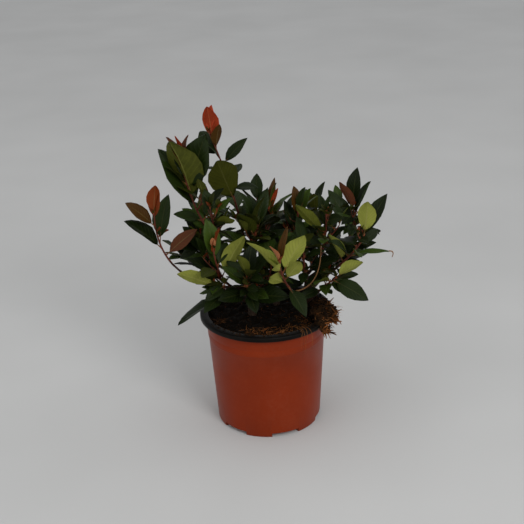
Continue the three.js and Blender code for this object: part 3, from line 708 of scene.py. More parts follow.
class Plant:
    """The whole plant's growth: stems, shoots, masses and what they bear."""

    def __init__(self) -> None:
        """Grows the limbs first, then all the shoots' leaves, then all the twigs."""
        self.crown = Crown()
        self.lines: dict[str, Line] = {}
        ground = PEAT_LEVEL + GAP
        for stem in STEMS:
            line = Line((*stem.start, ground), stem.via, stem.tip)
            self._add(stem.name, line, stem.radius)
        for shoot in SHOOTS:
            line = Line(self.lines[shoot.parent].at(shoot.share), shoot.via, shoot.tip)
            self._add(shoot.name, line, taper(SHOOT_RADII))
        self.masses = [Mass(s, self.lines[s.name], self.crown, i) for i, s in enumerate(SHOOTS)]
        for mass in self.masses:
            mass.grow_leaves()
        for mass in self.masses:
            mass.grow_twigs()

    def _add(self, name: str, line: Line, radius: Callable[[float], float]) -> None:
        """Keeps a limb's line and its beads."""
        self.lines[name] = line
        self.crown.limbs.append((name, *line.beads(radius)))


# The colours that midribs run to, above and below.
STRAW = (0.3, 0.26, 0.1)
PALE_STRAW = (0.42, 0.36, 0.16)


@dataclass(frozen=True)
class Grain:
    """A noise pattern.

    Args:
        scale: How fine it is.
        detail: How many finer layers it has.
        stretch: Below 1 it is drawn out along that axis.
    """

    scale: float
    detail: float
    stretch: Triple = (1, 1, 1)


class Nodes:
    """A small helper that builds one material's node tree."""

    def __init__(self, name: str) -> None:
        """Makes a material with a Principled shader.

        Args:
            name: The material's name.
        """
        self.material = bpy.data.materials.new(name)
        self.material.use_nodes = True
        self.tree = self.material.node_tree
        self.shader = self.tree.nodes["Principled BSDF"]
        self.coordinates = self.tree.nodes.new("ShaderNodeTexCoord")

    def add(self, kind: str, **settings: object) -> bpy.types.Node:
        """Adds a node.

        Args:
            kind: Its type.
            **settings: Its properties.

        Returns:
            The node.
        """
        node = self.tree.nodes.new(kind)
        for key, value in settings.items():
            setattr(node, key, value)
        return node

    def link(self, source: Socket, target: Socket) -> None:
        """Joins two sockets."""
        self.tree.links.new(source, target)

    def noise(self, grain: Grain) -> Socket:
        """Noise in Object coordinates.

        Args:
            grain: Its pattern.

        Returns:
            The noise as a number.
        """
        mapping = self.add("ShaderNodeMapping")
        mapping.inputs["Scale"].default_value = grain.stretch
        texture = self.add("ShaderNodeTexNoise")
        texture.inputs["Scale"].default_value = grain.scale
        texture.inputs["Detail"].default_value = grain.detail
        texture.inputs["Roughness"].default_value = 0.55
        self.link(self.coordinates.outputs["Object"], mapping.inputs["Vector"])
        self.link(mapping.outputs["Vector"], texture.inputs["Vector"])
        return texture.outputs["Fac"]

    def ramp(self, source: Socket, stops: Sequence[tuple[float, Colour]]) -> Socket:
        """A colour ramp.

        Args:
            source: The number that runs along it.
            stops: The place and colour of each stop.

        Returns:
            The colour.
        """
        node = self.add("ShaderNodeValToRGB")
        elements = node.color_ramp.elements
        for element, (place, colour) in zip(elements, (stops[0], stops[-1])):
            element.position = place
            element.color = (*colour, 1)
        for place, colour in stops[1:-1]:
            elements.new(place).color = (*colour, 1)
        self.link(source, node.inputs["Fac"])
        return node.outputs["Color"]

    def math(self, operation: str, *values: Socket | float) -> Socket:
        """One arithmetic step.

        Args:
            operation: Its name.
            *values: The sockets or numbers that it works on.

        Returns:
            The result.
        """
        node = self.add("ShaderNodeMath", operation=operation)
        for socket, value in zip(node.inputs, values):
            if isinstance(value, Socket):
                self.link(value, socket)
            else:
                socket.default_value = value
        return node.outputs["Value"]

    def blend(self, share: Socket, a: Socket | Colour, b: Socket | Colour) -> Socket:
        """A mix of two colours.

        Args:
            share: How much of the second there is.
            a: The first, a socket or a colour.
            b: The second.

        Returns:
            The mixed colour.
        """
        node = self.add("ShaderNodeMix", data_type="RGBA")
        self.link(share, node.inputs["Factor"])
        for key, value in (("A", a), ("B", b)):
            socket = next(s for s in node.inputs if s.name == key and s.type == "RGBA")
            if isinstance(value, Socket):
                self.link(value, socket)
            else:
                socket.default_value = (*value, 1)
        return next(s for s in node.outputs if s.type == "RGBA")

    def bump(self, height: Socket, strength: float, depth: float) -> None:
        """Adds relief to the shader's normal, over any that it has.

        Args:
            height: The relief's height.
            strength: How strongly it shows.
            depth: How deep it is.
        """
        node = self.add("ShaderNodeBump")
        node.inputs["Strength"].default_value = strength
        node.inputs["Distance"].default_value = depth * MM
        self.link(height, node.inputs["Height"])
        normal = self.shader.inputs["Normal"]
        if normal.links:
            self.link(normal.links[0].from_socket, node.inputs["Normal"])
        self.link(node.outputs["Normal"], normal)

    def tone(self) -> Socket:
        """How light the copy of a shape is, from the mesh's own attribute."""
        return self.add("ShaderNodeAttribute", attribute_name="tone").outputs["Fac"]

    def colour(self, source: Socket) -> None:
        """Sets the base colour."""
        self.link(source, self.shader.inputs["Base Color"])

    def roughness(self, low: float, high: float, source: Socket) -> None:
        """Sets a roughness that runs between two limits.

        Args:
            low: The smoothest.
            high: The dullest.
            source: The number that it runs with.
        """
        node = self.add("ShaderNodeMapRange")
        node.inputs["To Min"].default_value = low
        node.inputs["To Max"].default_value = high
        self.link(source, node.inputs["Value"])
        self.link(node.outputs["Result"], self.shader.inputs["Roughness"])

    def plain(self, **values: float) -> None:
        """Plain numbers on the shader's own sockets."""
        for key, value in values.items():
            self.shader.inputs[key.replace("_", " ")].default_value = value


def scaled(colour: Colour, factor: float) -> Colour:
    """A colour made darker or lighter."""
    return tuple(min(c * factor, 1.0) for c in colour)


def shades(colour: Colour, *stops: Pair) -> list[tuple[float, Colour]]:
    """A ramp's stops in one colour, each from its place and how light it is there."""
    return [(place, scaled(colour, factor)) for place, factor in stops]


@dataclass(frozen=True)
class LeafFinish:
    """One side of a leaf.

    Args:
        name: The material's name.
        colour: Its plain base colour.
        rib: The colour of its midrib.
        vein: How much lighter the side veins are, as a factor.
        low: Roughness where it is smoothest.
        high: Roughness where it is dullest.
        relief: Depth of its veins.
        glow: How much light passes under its skin.
    """

    VEINS = 9
    SLANT = 0.62
    SHARPNESS = 6.0
    RIB_HALF = 0.03
    RIB_TAPER = 0.016
    BY_LEAF = 0.6
    BLOTCH = Grain(60, 4)
    SHEEN = Grain(140, 3)
    PEBBLES = Grain(900, 2)

    name: str
    colour: Colour
    rib: Colour
    vein: float = 1.3
    low: float = 0.3
    high: float = 0.48
    relief: float = 0.35
    glow: float = 0.0

    def material(self) -> bpy.types.Material:
        """Makes its material.

        Returns:
            Colour by leaf, a midrib, side veins that slant to the tip, and a pebbled skin.
        """
        made = Nodes(self.name)
        uv = made.add("ShaderNodeSeparateXYZ")
        made.link(made.coordinates.outputs["UV"], uv.inputs["Vector"])
        across = made.math("ABSOLUTE", made.math("SUBTRACT", uv.outputs["X"], 0.5))
        along = made.math("MULTIPLY_ADD", across, -self.SLANT, uv.outputs["Y"])
        wave = made.math("SINE", made.math("MULTIPLY", along, 2 * math.pi * self.VEINS))
        vein = made.math("POWER", made.math("MULTIPLY_ADD", wave, 0.5, 0.5), self.SHARPNESS)
        thin = made.math("MULTIPLY_ADD", uv.outputs["Y"], -self.RIB_TAPER, self.RIB_HALF)
        midrib = made.math("LESS_THAN", across, thin)
        blotch = made.math("MULTIPLY", made.noise(self.BLOTCH), 1 - self.BY_LEAF)
        # The tone attribute holds each leaf's random tone and, on green leaves, painted shade that darkens
        # the low ones.
        tone = made.math("MULTIPLY_ADD", made.tone(), self.BY_LEAF, blotch)
        base = made.ramp(tone, shades(self.colour, (0.2, 0.4), (0.5, 1), (0.8, 1.3)))
        veined = made.blend(made.math("MULTIPLY", vein, 0.5), base, scaled(self.colour, self.vein))
        made.colour(made.blend(midrib, veined, self.rib))
        made.roughness(self.low, self.high, made.noise(self.SHEEN))
        made.bump(vein, 0.5, self.relief)
        made.bump(made.noise(self.PEBBLES), 0.2, 0.12)
        made.plain(Specular_IOR_Level=0.11)
        if self.glow:
            made.plain(Subsurface_Weight=self.glow, Subsurface_Scale=0.002)
        return made.material


@dataclass(frozen=True)
class BarkFinish:
    """Young bark or a green shoot.

    Args:
        name: The material's name.
        colour: Its main colour.
        fleck: The colour of its paler flecks.
        relief: Depth of its grain.
        shine: Roughness of its skin.
    """

    name: str
    colour: Colour
    fleck: Colour
    relief: float
    shine: float

    STREAK = Grain(120, 4, (1, 1, 0.25))
    PORES = Grain(700, 1)
    RIDGES = Grain(420, 4, (1, 1, 0.3))

    def material(self) -> bpy.types.Material:
        """Makes its material.

        Returns:
            Streaks along the limb, pale pores, and a shallow grain.
        """
        made = Nodes(self.name)
        made.plain(Specular_IOR_Level=0.2)
        streak = made.noise(self.STREAK)
        base = made.ramp(streak, shades(self.colour, (0.3, 0.6), (0.5, 1), (0.72, 1.35)))
        pores = made.math("GREATER_THAN", made.noise(self.PORES), 0.66)
        made.colour(made.blend(made.math("MULTIPLY", pores, 0.6), base, self.fleck))
        made.roughness(self.shine, self.shine + 0.22, streak)
        made.bump(made.noise(self.RIDGES), 0.5, self.relief)
        return made.material


@dataclass(frozen=True)
class PlasticFinish:
    """Thin thermoformed plastic, with dust, scuffs and a faintly wavy wall.

    Args:
        name: The material's name.
        colour: Its main colour.
        dust: The colour of the dust on it.
        dust_share: How thickly the dust covers it where it lies.
        specular: How strongly it mirrors.
        low: Roughness where it is smoothest.
        high: Roughness where it is dullest.
    """

    CLOUD = Grain(14, 4)
    DUST = (Grain(38, 5, (1, 1, 0.35)), Grain(210, 4))
    DUST_LIMITS = (0.22, 0.48)
    SCUFFS = Grain(60, 5, (1, 1, 0.2))
    WAVES = Grain(9, 2, (1, 1, 0.6))
    SKIN = Grain(1400, 2)

    name: str
    colour: Colour
    dust: Colour
    dust_share: float
    specular: float
    low: float = 0.34
    high: float = 0.52

    def material(self) -> bpy.types.Material:
        """Makes its material.

        Returns:
            Clouded colour, dust in blotches and streaks, fine upright scuffs.
        """
        made = Nodes(self.name)
        shaded = shades(self.colour, (0.3, 0.88), (0.55, 1), (0.8, 1.12))
        cloud = made.ramp(made.noise(self.CLOUD), shaded)
        dust = made.math("MULTIPLY", *(made.noise(grain) for grain in self.DUST))
        dusty = made.add("ShaderNodeMapRange")
        for key, value in zip(("From Min", "From Max"), self.DUST_LIMITS):
            dusty.inputs[key].default_value = value
        dusty.inputs["To Max"].default_value = self.dust_share
        made.link(dust, dusty.inputs["Value"])
        made.colour(made.blend(dusty.outputs["Result"], cloud, self.dust))
        made.roughness(self.low, self.high, made.noise(self.SCUFFS))
        made.bump(made.noise(self.WAVES), 0.35, 0.9)
        made.bump(made.noise(self.SKIN), 0.12, 0.1)
        made.plain(Specular_IOR_Level=self.specular)
        return made.material


@dataclass(frozen=True)
class PeatFinish:
    """Peat, bark crumbs or fibre: a mottled dull surface.

    Args:
        name: The material's name.
        dark: The colour of its damp places.
        light: The colour of its dry places.
        scale: How fine its mottling is.
        relief: Depth of its pits.
    """

    name: str
    dark: Colour
    light: Colour
    scale: float = 260
    relief: float = 1.2

    def material(self) -> bpy.types.Material:
        """Makes its material.

        Returns:
            Mottled from dark to light, each bit with its own tone, rough and pitted.
        """
        made = Nodes(self.name)
        mottle = made.math("MULTIPLY", made.noise(Grain(self.scale, 5)), 0.6)
        # The tone attribute is a random tone for each bit; on crumbs, chips, fibres and shreds it also holds
        # painted light and shade by place.
        tone = made.math("MULTIPLY_ADD", made.tone(), 0.5, mottle)
        stops = [(0.3, self.dark), *shades(self.light, (0.56, 1), (0.78, 1.5))]
        made.colour(made.ramp(tone, stops))
        made.roughness(0.7, 0.98, made.noise(Grain(self.scale * 1.7, 3)))
        made.bump(made.noise(Grain(self.scale * 3, 5)), 0.9, self.relief)
        made.plain(Specular_IOR_Level=0.08)
        return made.material


class Side(Enum):
    """Which part of a leaf a face is."""

    UPPER = 0
    UNDER = 1


@dataclass(frozen=True)
class TintFinish:
    """The finishes of a leaf's upper side and underside."""

    upper: LeafFinish
    under: LeafFinish


def tint_finish(name: str, upper: Colour, under: Colour, rib: float, glow: float = 0) -> TintFinish:
    """The two finishes of a tint.

    Args:
        name: The tint's name.
        upper: The base colour of its upper side.
        under: The base colour of its underside.
        rib: How far its midrib goes from the base colour to straw.
        glow: How much light passes under its skin.

    Returns:
        The finishes.
    """
    midrib = tuple(mix(c, p, rib) for c, p in zip(upper, STRAW))
    below = tuple(mix(c, p, rib) for c, p in zip(under, PALE_STRAW))
    return TintFinish(
        LeafFinish(f"leaf_{name}_upper", upper, midrib, 1.5, 0.36, 0.55, glow=glow),
        LeafFinish(f"leaf_{name}_under", under, below, 0.8, 0.55, 0.7, 0.45, glow),
    )


TINTS = {
    Tint.DEEP: tint_finish("deep", (0.0095, 0.0175, 0.0022), (0.036, 0.043, 0.004), 0.05),
    Tint.MID: tint_finish("mid", (0.028, 0.05, 0.005), (0.105, 0.116, 0.014), 0.1),
    Tint.FRESH: tint_finish("fresh", (0.13, 0.16, 0.02), (0.24, 0.255, 0.045), 0.2),
    Tint.OLIVE: tint_finish("olive", (0.024, 0.03, 0.003), (0.045, 0.048, 0.004), 0.05),
    Tint.BRONZE: tint_finish("bronze", (0.05, 0.021, 0.0025), (0.062, 0.027, 0.004), 0.15),
    Tint.RED: tint_finish("red", (0.28, 0.034, 0.01), (0.31, 0.04, 0.011), 0.12, 0.1),
    Tint.ORANGE: tint_finish("orange", (0.12, 0.022, 0.004), (0.14, 0.027, 0.005), 0.15, 0.1),
    Tint.DUSTY: tint_finish("dusty", (0.072, 0.022, 0.007), (0.15, 0.048, 0.022), 0.2),
    Tint.SALMON: tint_finish("salmon", (0.38, 0.13, 0.052), (0.42, 0.16, 0.065), 0.4, 0.1),
}
BARK = BarkFinish("bark_stem", (0.036, 0.02, 0.012), (0.12, 0.08, 0.05), 0.8, 0.62)
BOUGH_BARK = BarkFinish("bark_bough", (0.032, 0.013, 0.008), (0.1, 0.05, 0.03), 0.5, 0.5)
SHOOT_SKIN = BarkFinish("shoot_skin", (0.1, 0.022, 0.013), (0.16, 0.07, 0.035), 0.25, 0.4)
PETIOLE_SKIN = BarkFinish("petiole_skin", (0.14, 0.055, 0.016), (0.2, 0.12, 0.04), 0.1, 0.42)
BUD_SKIN = BarkFinish("bud_skin", (0.17, 0.036, 0.012), (0.24, 0.08, 0.03), 0.15, 0.45)
TERRACOTTA = PlasticFinish(
    "terracotta_plastic", (0.205, 0.0215, 0.0025), (0.3, 0.14, 0.09), 0.06, 0.13, 0.3, 0.45
)
BLACK = PlasticFinish("black_plastic", (0.0033, 0.0027, 0.0022), (0.03, 0.022, 0.014), 0.25, 0.08)
PEAT = PeatFinish("peat_damp", (0.003, 0.0018, 0.0006), (0.013, 0.0065, 0.002))
CRUMB = PeatFinish("peat_crumb", (0.003, 0.0017, 0.0006), (0.024, 0.0105, 0.003), 380, 0.6)
CHIP = PeatFinish("bark_chip", (0.01, 0.004, 0.0013), (0.14, 0.045, 0.011), 300, 0.5)
SHRED = PeatFinish("bark_shred", (0.006, 0.003, 0.001), (0.16, 0.055, 0.014), 300, 0.5)
FIBRE = PeatFinish("coir_fibre", (0.02, 0.008, 0.0025), (0.3, 0.12, 0.035), 420, 0.2)
DEAD_WOOD = BarkFinish("dead_wood", (0.17, 0.08, 0.03), (0.28, 0.16, 0.07), 0.2, 0.6)


# How far a scattered lump may lean, in radians.
LEAN = 0.7
# Bumps in bark: how many there are to a limb's radius and to a millimetre of its length.
BUMPS = (1.5, 0.12)


def plain_mesh(bm: bmesh.types.BMesh, name: str) -> bpy.types.Mesh:
    """A bmesh's shape as a mesh.

    Args:
        bm: The bmesh, which is freed.
        name: The mesh's name.

    Returns:
        The mesh.
    """
    mesh = bpy.data.meshes.new(name)
    bm.to_mesh(mesh)
    bm.free()
    return mesh


def placed(name: str, data: bpy.types.ID) -> bpy.types.Object:
    """Puts a mesh, a light or a camera in the scene.

    Args:
        name: The object's name.
        data: What it shows.

    Returns:
        The object.
    """
    made = bpy.data.objects.new(name, data)
    bpy.context.scene.collection.objects.link(made)
    return made


@dataclass
class Stock:
    """A small shape kept as arrays, ready to be copied many times.

    Args:
        rest: Its vertices as the operator made them.
        edges: The two vertices of each edge.
        corners: The vertex and the edge of each face corner.
        starts: Each face's first corner.
        parts: Each face's material index.
        smooth: Whether each face is smooth.
        sharp: Whether each edge is sharp.
        uv: Each corner's place in the UV map.
    """

    rest: Array
    edges: Array
    corners: Array
    starts: Array
    parts: Array
    smooth: Array
    sharp: Array
    uv: Array

    @classmethod
    def of(cls, bm: bmesh.types.BMesh) -> "Stock":
        """Takes the shape out of a bmesh.

        Args:
            bm: The bmesh, which is freed.

        Returns:
            The shape.
        """
        mesh = plain_mesh(bm, "stock")
        faces = mesh.polygons
        layer = mesh.uv_layers.active
        flat = np.zeros((len(mesh.loops), 2))
        made = cls(
            rest=np.array([tuple(v.co) for v in mesh.vertices]),
            edges=np.array([tuple(e.vertices) for e in mesh.edges]),
            corners=np.array([(c.vertex_index, c.edge_index) for c in mesh.loops]),
            starts=np.array([f.loop_start for f in faces]),
            parts=np.array([f.material_index for f in faces]),
            smooth=np.array([f.use_smooth for f in faces]),
            sharp=np.array([e.use_edge_sharp for e in mesh.edges]),
            uv=np.array([tuple(c.uv) for c in layer.data]) if layer else flat,
        )
        bpy.data.meshes.remove(mesh)
        return made


class Heap:
    """Copies of stock shapes, joined into one mesh."""

    def __init__(self) -> None:
        """Starts empty."""
        self.copies: list[tuple[Stock, Array, int, float]] = []

    def add(self, stock: Stock, places: Array, shift: int = 0, tone: float = 0.5) -> None:
        """Adds a copy with its vertices' places, a shift of its materials and its tone."""
        self.copies.append((stock, places, shift, tone))

    def mesh(self, name: str) -> bpy.types.Mesh:
        """Joins the copies.

        Args:
            name: The mesh's name.

        Returns:
            A mesh in metres.
        """
        stocks = [c[0] for c in self.copies]
        points = np.cumsum([0, *(len(s.rest) for s in stocks)])
        lines = np.cumsum([0, *(len(s.edges) for s in stocks)])
        turns = np.cumsum([0, *(len(s.corners) for s in stocks)])
        mesh = bpy.data.meshes.new(name)
        mesh.vertices.add(points[-1])
        mesh.edges.add(lines[-1])
        mesh.loops.add(turns[-1])
        mesh.polygons.add(sum(len(s.starts) for s in stocks))
        joined = np.concatenate([s.corners + (p, e) for s, p, e in zip(stocks, points, lines)])
        for owner, key, values in (
            (mesh.vertices, "co", [places * MM for _, places, _, _ in self.copies]),
            (mesh.edges, "vertices", [s.edges + p for s, p in zip(stocks, points)]),
            (mesh.loops, "vertex_index", [joined[:, 0]]),
            (mesh.loops, "edge_index", [joined[:, 1]]),
            (mesh.polygons, "loop_start", [s.starts + t for s, t in zip(stocks, turns)]),
            (mesh.polygons, "material_index", [s.parts + i for s, _, i, _ in self.copies]),
            (mesh.polygons, "use_smooth", [s.smooth for s in stocks]),
        ):
            owner.foreach_set(key, np.concatenate(values).ravel())
        tones = [np.full(len(s.rest), tone) for s, _, _, tone in self.copies]
        for key, kind, domain, values in (
            ("tone", "FLOAT", "POINT", tones),
            ("sharp_edge", "BOOLEAN", "EDGE", [s.sharp for s in stocks]),
        ):
            layer = mesh.attributes.new(key, kind, domain)
            layer.data.foreach_set("value", np.concatenate(values))
        layer = mesh.uv_layers.new(name="UVMap")
        layer.data.foreach_set("uv", np.concatenate([s.uv for s in stocks]).ravel())
        mesh.update()
        mesh.validate()
        return mesh


def upright_edges(bm: bmesh.types.BMesh) -> list[bmesh.types.BMEdge]:
    """The edges that run from a shape's floor to its top."""
    return [e for e in bm.edges if abs(e.verts[0].co.z - e.verts[1].co.z) > 0.5]


def tube_stock(sides: int, steps: int) -> Stock:
    """A closed tube along Z.

    Args:
        sides: How many faces go round it.
        steps: How many go along it.

    Returns:
        A tube of unit radius, from -0.5 to 0.5.
    """
    bm = bmesh.new()
    bmesh.ops.create_cone(bm, cap_ends=True, segments=sides, radius1=1, radius2=1, depth=1)
    bmesh.ops.subdivide_edges(bm, edges=upright_edges(bm), cuts=steps - 1, use_grid_fill=True)
    for face in bm.faces:
        face.smooth = abs(face.normal.z) < 0.5
    return Stock.of(bm)


def ball_stock(detail: int) -> Stock:
    """A ball made of triangles.

    Args:
        detail: How often its faces are divided; below 2 it is flat-sided.

    Returns:
        A ball of unit radius.
    """
    bm = bmesh.new()
    bmesh.ops.create_icosphere(bm, subdivisions=detail, radius=1)
    for face in bm.faces:
        face.smooth = detail > 1
    return Stock.of(bm)


def chip_stock() -> Stock:
    """A flat chip with its corners cut.

    Returns:
        A chip 2 units across.
    """
    bm = bmesh.new()
    bmesh.ops.create_cube(bm, size=2)
    bmesh.ops.bevel(
        bm, geom=upright_edges(bm), offset=0.6, segments=1, profile=0.5, affect="EDGES",
        material=-1
    )
    return Stock.of(bm)


@dataclass
class Blade:
    """A leaf's blade: a ball whose rings run along it and whose columns run across it.

    Args:
        shares: Where each ring is along the blade.
        sides: Where each column is across it, over the top and back underneath.
        thick: Half the blade's thickness at its midrib.
        ridge: How far the midrib stands out underneath at the base.
        groove: How deep the midrib lies in the top at the base.
        full: Length of the shortest blade with its full thickness.
        cup: How far each half bulges, least and most, as a share of it.
        wave: How tall the edge's waves are, as a share of a half.
        waves: How many waves an edge has.
        widest: Where the blade is widest, as Leaf.points takes it.
        fullness: How full its outline is.
        breadth: Its share of the usual width.
        sway: How far the tip may sway aside, as a share of a half.
    """

    shares: tuple[float, ...] = (0, 0.06, 0.18, 0.34, 0.52, 0.7, 0.86, 0.95, 1)
    sides: tuple[float, ...] = (1, 0.5, 0, -0.5, -1, -0.5, 0, 0.5)
    thick: float = 0.3
    ridge: float = 0.7
    groove: float = 0.3
    full: float = 40
    cup: Pair = (0.05, 0.15)
    wave: Pair = (0.04, 0.12)
    waves: Pair = (0.9, 1.9)
    widest: Pair = (0.82, 0.96)
    fullness: Pair = (0.8, 0.95)
    breadth: Pair = (0.92, 1.08)
    sway: float = 0.16
    stock: Stock = field(init=False)
    share: Array = field(init=False)
    side: Array = field(init=False)
    over: Array = field(init=False)

    def __post_init__(self) -> None:
        """Makes the ball and reads what each vertex stands for."""
        columns, rings = len(self.sides), len(self.shares) - 1
        bm = bmesh.new()
        bmesh.ops.create_uvsphere(bm, u_segments=columns, v_segments=rings, radius=1)
        uv = bm.loops.layers.uv.new("UVMap")
        for face in bm.faces:
            face.smooth = True
            over = face.calc_center_median().y > 0
            face.material_index = (Side.UPPER if over else Side.UNDER).value
            for loop in face.loops:
                ring, column = self._place(loop.vert.co)
                side = self.sides[column] if 0 < ring < rings else 0.0
                loop[uv].uv = (side / 2 + 0.5, self.shares[ring])
        for edge in bm.edges:
            on_edge = all(abs(v.co.y) < 0.01 and abs(v.co.z) < 0.999 for v in edge.verts)
            edge.smooth = not on_edge
        self.stock = Stock.of(bm)
        self._match_diagonals()
        places = [self._place(Vector(co)) for co in self.stock.rest]
        inner = np.array([0 < ring < rings for ring, _ in places])
        self.share = np.array([self.shares[ring] for ring, _ in places])
        self.side = np.array([self.sides[column] for _, column in places]) * inner
        height = self.stock.rest[:, 1]
        self.over = np.where(np.abs(height) < 0.01, 0, np.sign(height))

    def _place(self, co: Vector) -> tuple[int, int]:
        """Reads a vertex of the ball.

        Args:
            co: Where it is.

        Returns:
            Its ring and its column.
        """
        columns, rings = len(self.sides), len(self.shares) - 1
        ring = round(math.acos(max(-1.0, min(1.0, co.z))) / math.pi * rings)
        column = round(math.atan2(co.y, co.x) / (2 * math.pi) * columns) % columns
        return ring, column

    def _match_diagonals(self) -> None:
        """Starts each face at its corner nearest the base, so that both sides fold alike."""
        stock = self.stock
        ends = [*stock.starts[1:], len(stock.corners)]
        for start, end in zip(stock.starts, ends):
            corners = stock.corners[start:end, 0]
            rank = [(-round(stock.rest[c][2], 3), round(stock.rest[c][0], 3)) for c in corners]
            first = rank.index(min(rank))
            for rows in (stock.corners, stock.uv):
                rows[start:end] = np.roll(rows[start:end], -first, axis=0)

    def places(self, leaf: Leaf, habit: Dice, narrow: float = 1) -> Array:
        """Where one leaf's vertices go, with its own width, waves and sway.

        Args:
            leaf: Its place and pose.
            habit: The dice for what makes each blade a little different.
            narrow: Its share of the usual width.

        Returns:
            One row for each vertex.
        """
        share, side = self.share, self.side
        rise = np.abs(side)
        half = leaf.length * BLADE_WIDTH / 2
        slim = min(leaf.length / self.full, 1)
        rib = (rise < 0.1) * (1 - 0.75 * share)
        up = self.over * self.thick * (1 - rise**3)
        up = up - rib * np.where(self.over < 0, self.ridge, self.groove * (self.over > 0))
        up = up * slim + half * habit.between(*self.cup) * np.sin(np.pi * rise)
        for sign in (1, -1):
            waves = habit.between(*self.waves)
            start = habit.between(0, 2 * math.pi)
            tall = half * habit.between(*self.wave)
            wave = np.sin(2 * np.pi * waves * share + start) * tall * rise**2
            up = up + np.where(side * sign > 0, wave, 0) * np.sin(np.pi * share)
        widest, fullness = habit.between(*self.widest), habit.between(*self.fullness)
        width = BLADE_WIDTH * habit.between(*self.breadth) * narrow
        made = leaf.points(share, side, up, widest, fullness, width)
        return made + np.outer(half * habit.spread(self.sway) * share**2, leaf.side)


def limb_places(
    stock: Stock, line: Line, radius: Callable[[float], float], ends: Pair = (0, 1), relief: float = 0
) -> Array:
    """Where a tube's vertices go to follow a line.

    Args:
        stock: The unit tube.
        line: The centre line.
        radius: The limb's radius at a share of the line.
        ends: The shares of the line where the limb starts and ends.
        relief: How far bumps in the bark stand out.

    Returns:
        One row for each vertex.
    """
    around, along = BUMPS
    made = np.zeros_like(stock.rest)
    for i, (x, y, z) in enumerate(stock.rest):
        share = mix(*ends, z + 0.5)
        out = np.cross(line.across, line.along(share))
        width = radius(max(share, 0))
        if relief:
            spot = Vector((x * around, y * around, share * line.length * along + line.length))
            width += relief * noise.noise(spot)
        made[i] = line.at(share) + (out * x + line.across * y) * width
    return made


def lump_places(stock: Stock, centre: Array, sizes: Triple, dice: Dice, rough: float = 0) -> Array:
    """Where a small shape's vertices go when it is stretched, turned and dropped.

    Args:
        stock: The shape.
        centre: Its middle.
        sizes: Half its length, width and thickness.
        dice: Gives its turn and tilt.
        rough: How uneven it is, as a share of its size.

    Returns:
        One row for each vertex.
    """
    turn = Matrix.Rotation(dice.between(0, 2 * math.pi), 3, "Z")
    tilt = Matrix.Rotation(dice.spread(LEAN), 3, "X") @ Matrix.Rotation(dice.spread(LEAN), 3, "Y")
    uneven = 1 + rough * np.array([dice.spread(1) for _ in stock.rest])
    return (stock.rest * uneven[:, None] * sizes) @ np.array(turn @ tilt).T + centre


def mesh_of(bm: bmesh.types.BMesh, name: str, crease: float = 40) -> bpy.types.Mesh:
    """Makes a smooth mesh.

    Args:
        bm: Its shape as a bmesh, which is freed.
        name: Its name.
        crease: Edges where its faces turn by more than these degrees are sharp.

    Returns:
        The mesh.
    """
    bmesh.ops.recalc_face_normals(bm, faces=bm.faces)
    for face in bm.faces:
        face.smooth = True
    for edge in bm.edges:
        if len(edge.link_faces) == 2 and edge.calc_face_angle(0) > math.radians(crease):
            edge.smooth = False
    return plain_mesh(bm, name)


def spun(profile: Sequence[Pair], steps: int, degrees: float = 360) -> bmesh.types.BMesh:
    """Spins a profile about the Z axis, from the X axis on.

    Args:
        profile: Radius and height of its points.
        steps: How many steps the turn has.
        degrees: How far it turns.

    Returns:
        A bmesh in metres.
    """
    bm = bmesh.new()
    verts = [bm.verts.new((r * MM, 0, z * MM)) for r, z in profile]
    edges = [bm.edges.new(pair) for pair in zip(verts, verts[1:])]
    bmesh.ops.spin(
        bm, geom=[*verts, *edges], cent=(0, 0, 0), axis=(0, 0, 1), angle=math.radians(degrees),
        steps=steps, use_merge=degrees == 360
    )
    bmesh.ops.remove_doubles(bm, verts=bm.verts, dist=1e-6)
    return bm


def piece(
    mesh: bpy.types.Mesh, materials: Iterable[bpy.types.Material],
    replaced: Sequence[str] = ()
) -> bpy.types.Object:
    """Makes a finished piece of the object.

    Args:
        mesh: Its shape, whose name it takes.
        materials: Its materials, in the order of its faces' indices.
        replaced: The CAD nodes that it stands for.

    Returns:
        The object, riding on the root body.
    """
    for material in materials:
        mesh.materials.append(material)
    made = placed(mesh.name, mesh)
    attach(made, "root")
    if replaced:
        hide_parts(*replaced)
    LOG.info("%s: %d faces", made.name, len(mesh.polygons))
    return made


# Leaves of an unusual width, by mass and number, as a share of the usual width.
WIDTHS = {
    "top": {8: 1.25}, "upper_left": {2: 1.15, 3: 1.4, 4: 1.3, 5: 0.5, 7: 1.1, 8: 1.5},
    "far_left": {0: 0.85}, "inner_left": {5: 0.65}, "middle": {3: 0.5, 4: 0.5, 5: 0.35, 6: 0.4},
    "front_mid": {7: 0.6}, "right": {0: 1.4, 1: 0.6, 4: 0.7, 5: 0.8, 6: 0.95},
    "right_mid": {1: 0.55}, "right_high": {4: 0.85}, "low_right": {4: 1.35},
    "front_left": {5: 1.2, 6: 0.65}
}
# Leaves that hang more than the source's, by mass and number, and by how many degrees.
HANG = {"low_right": {3: 30}}
# Leaves turned about their own line more than the source's, and by how many degrees.
TURN = {"right": {5: 45}}

# Finer growth: twigs, filling leaves and young leaves that the source doesn't have.
FINE_SEED = 9000
FINE_TWIGS = 4
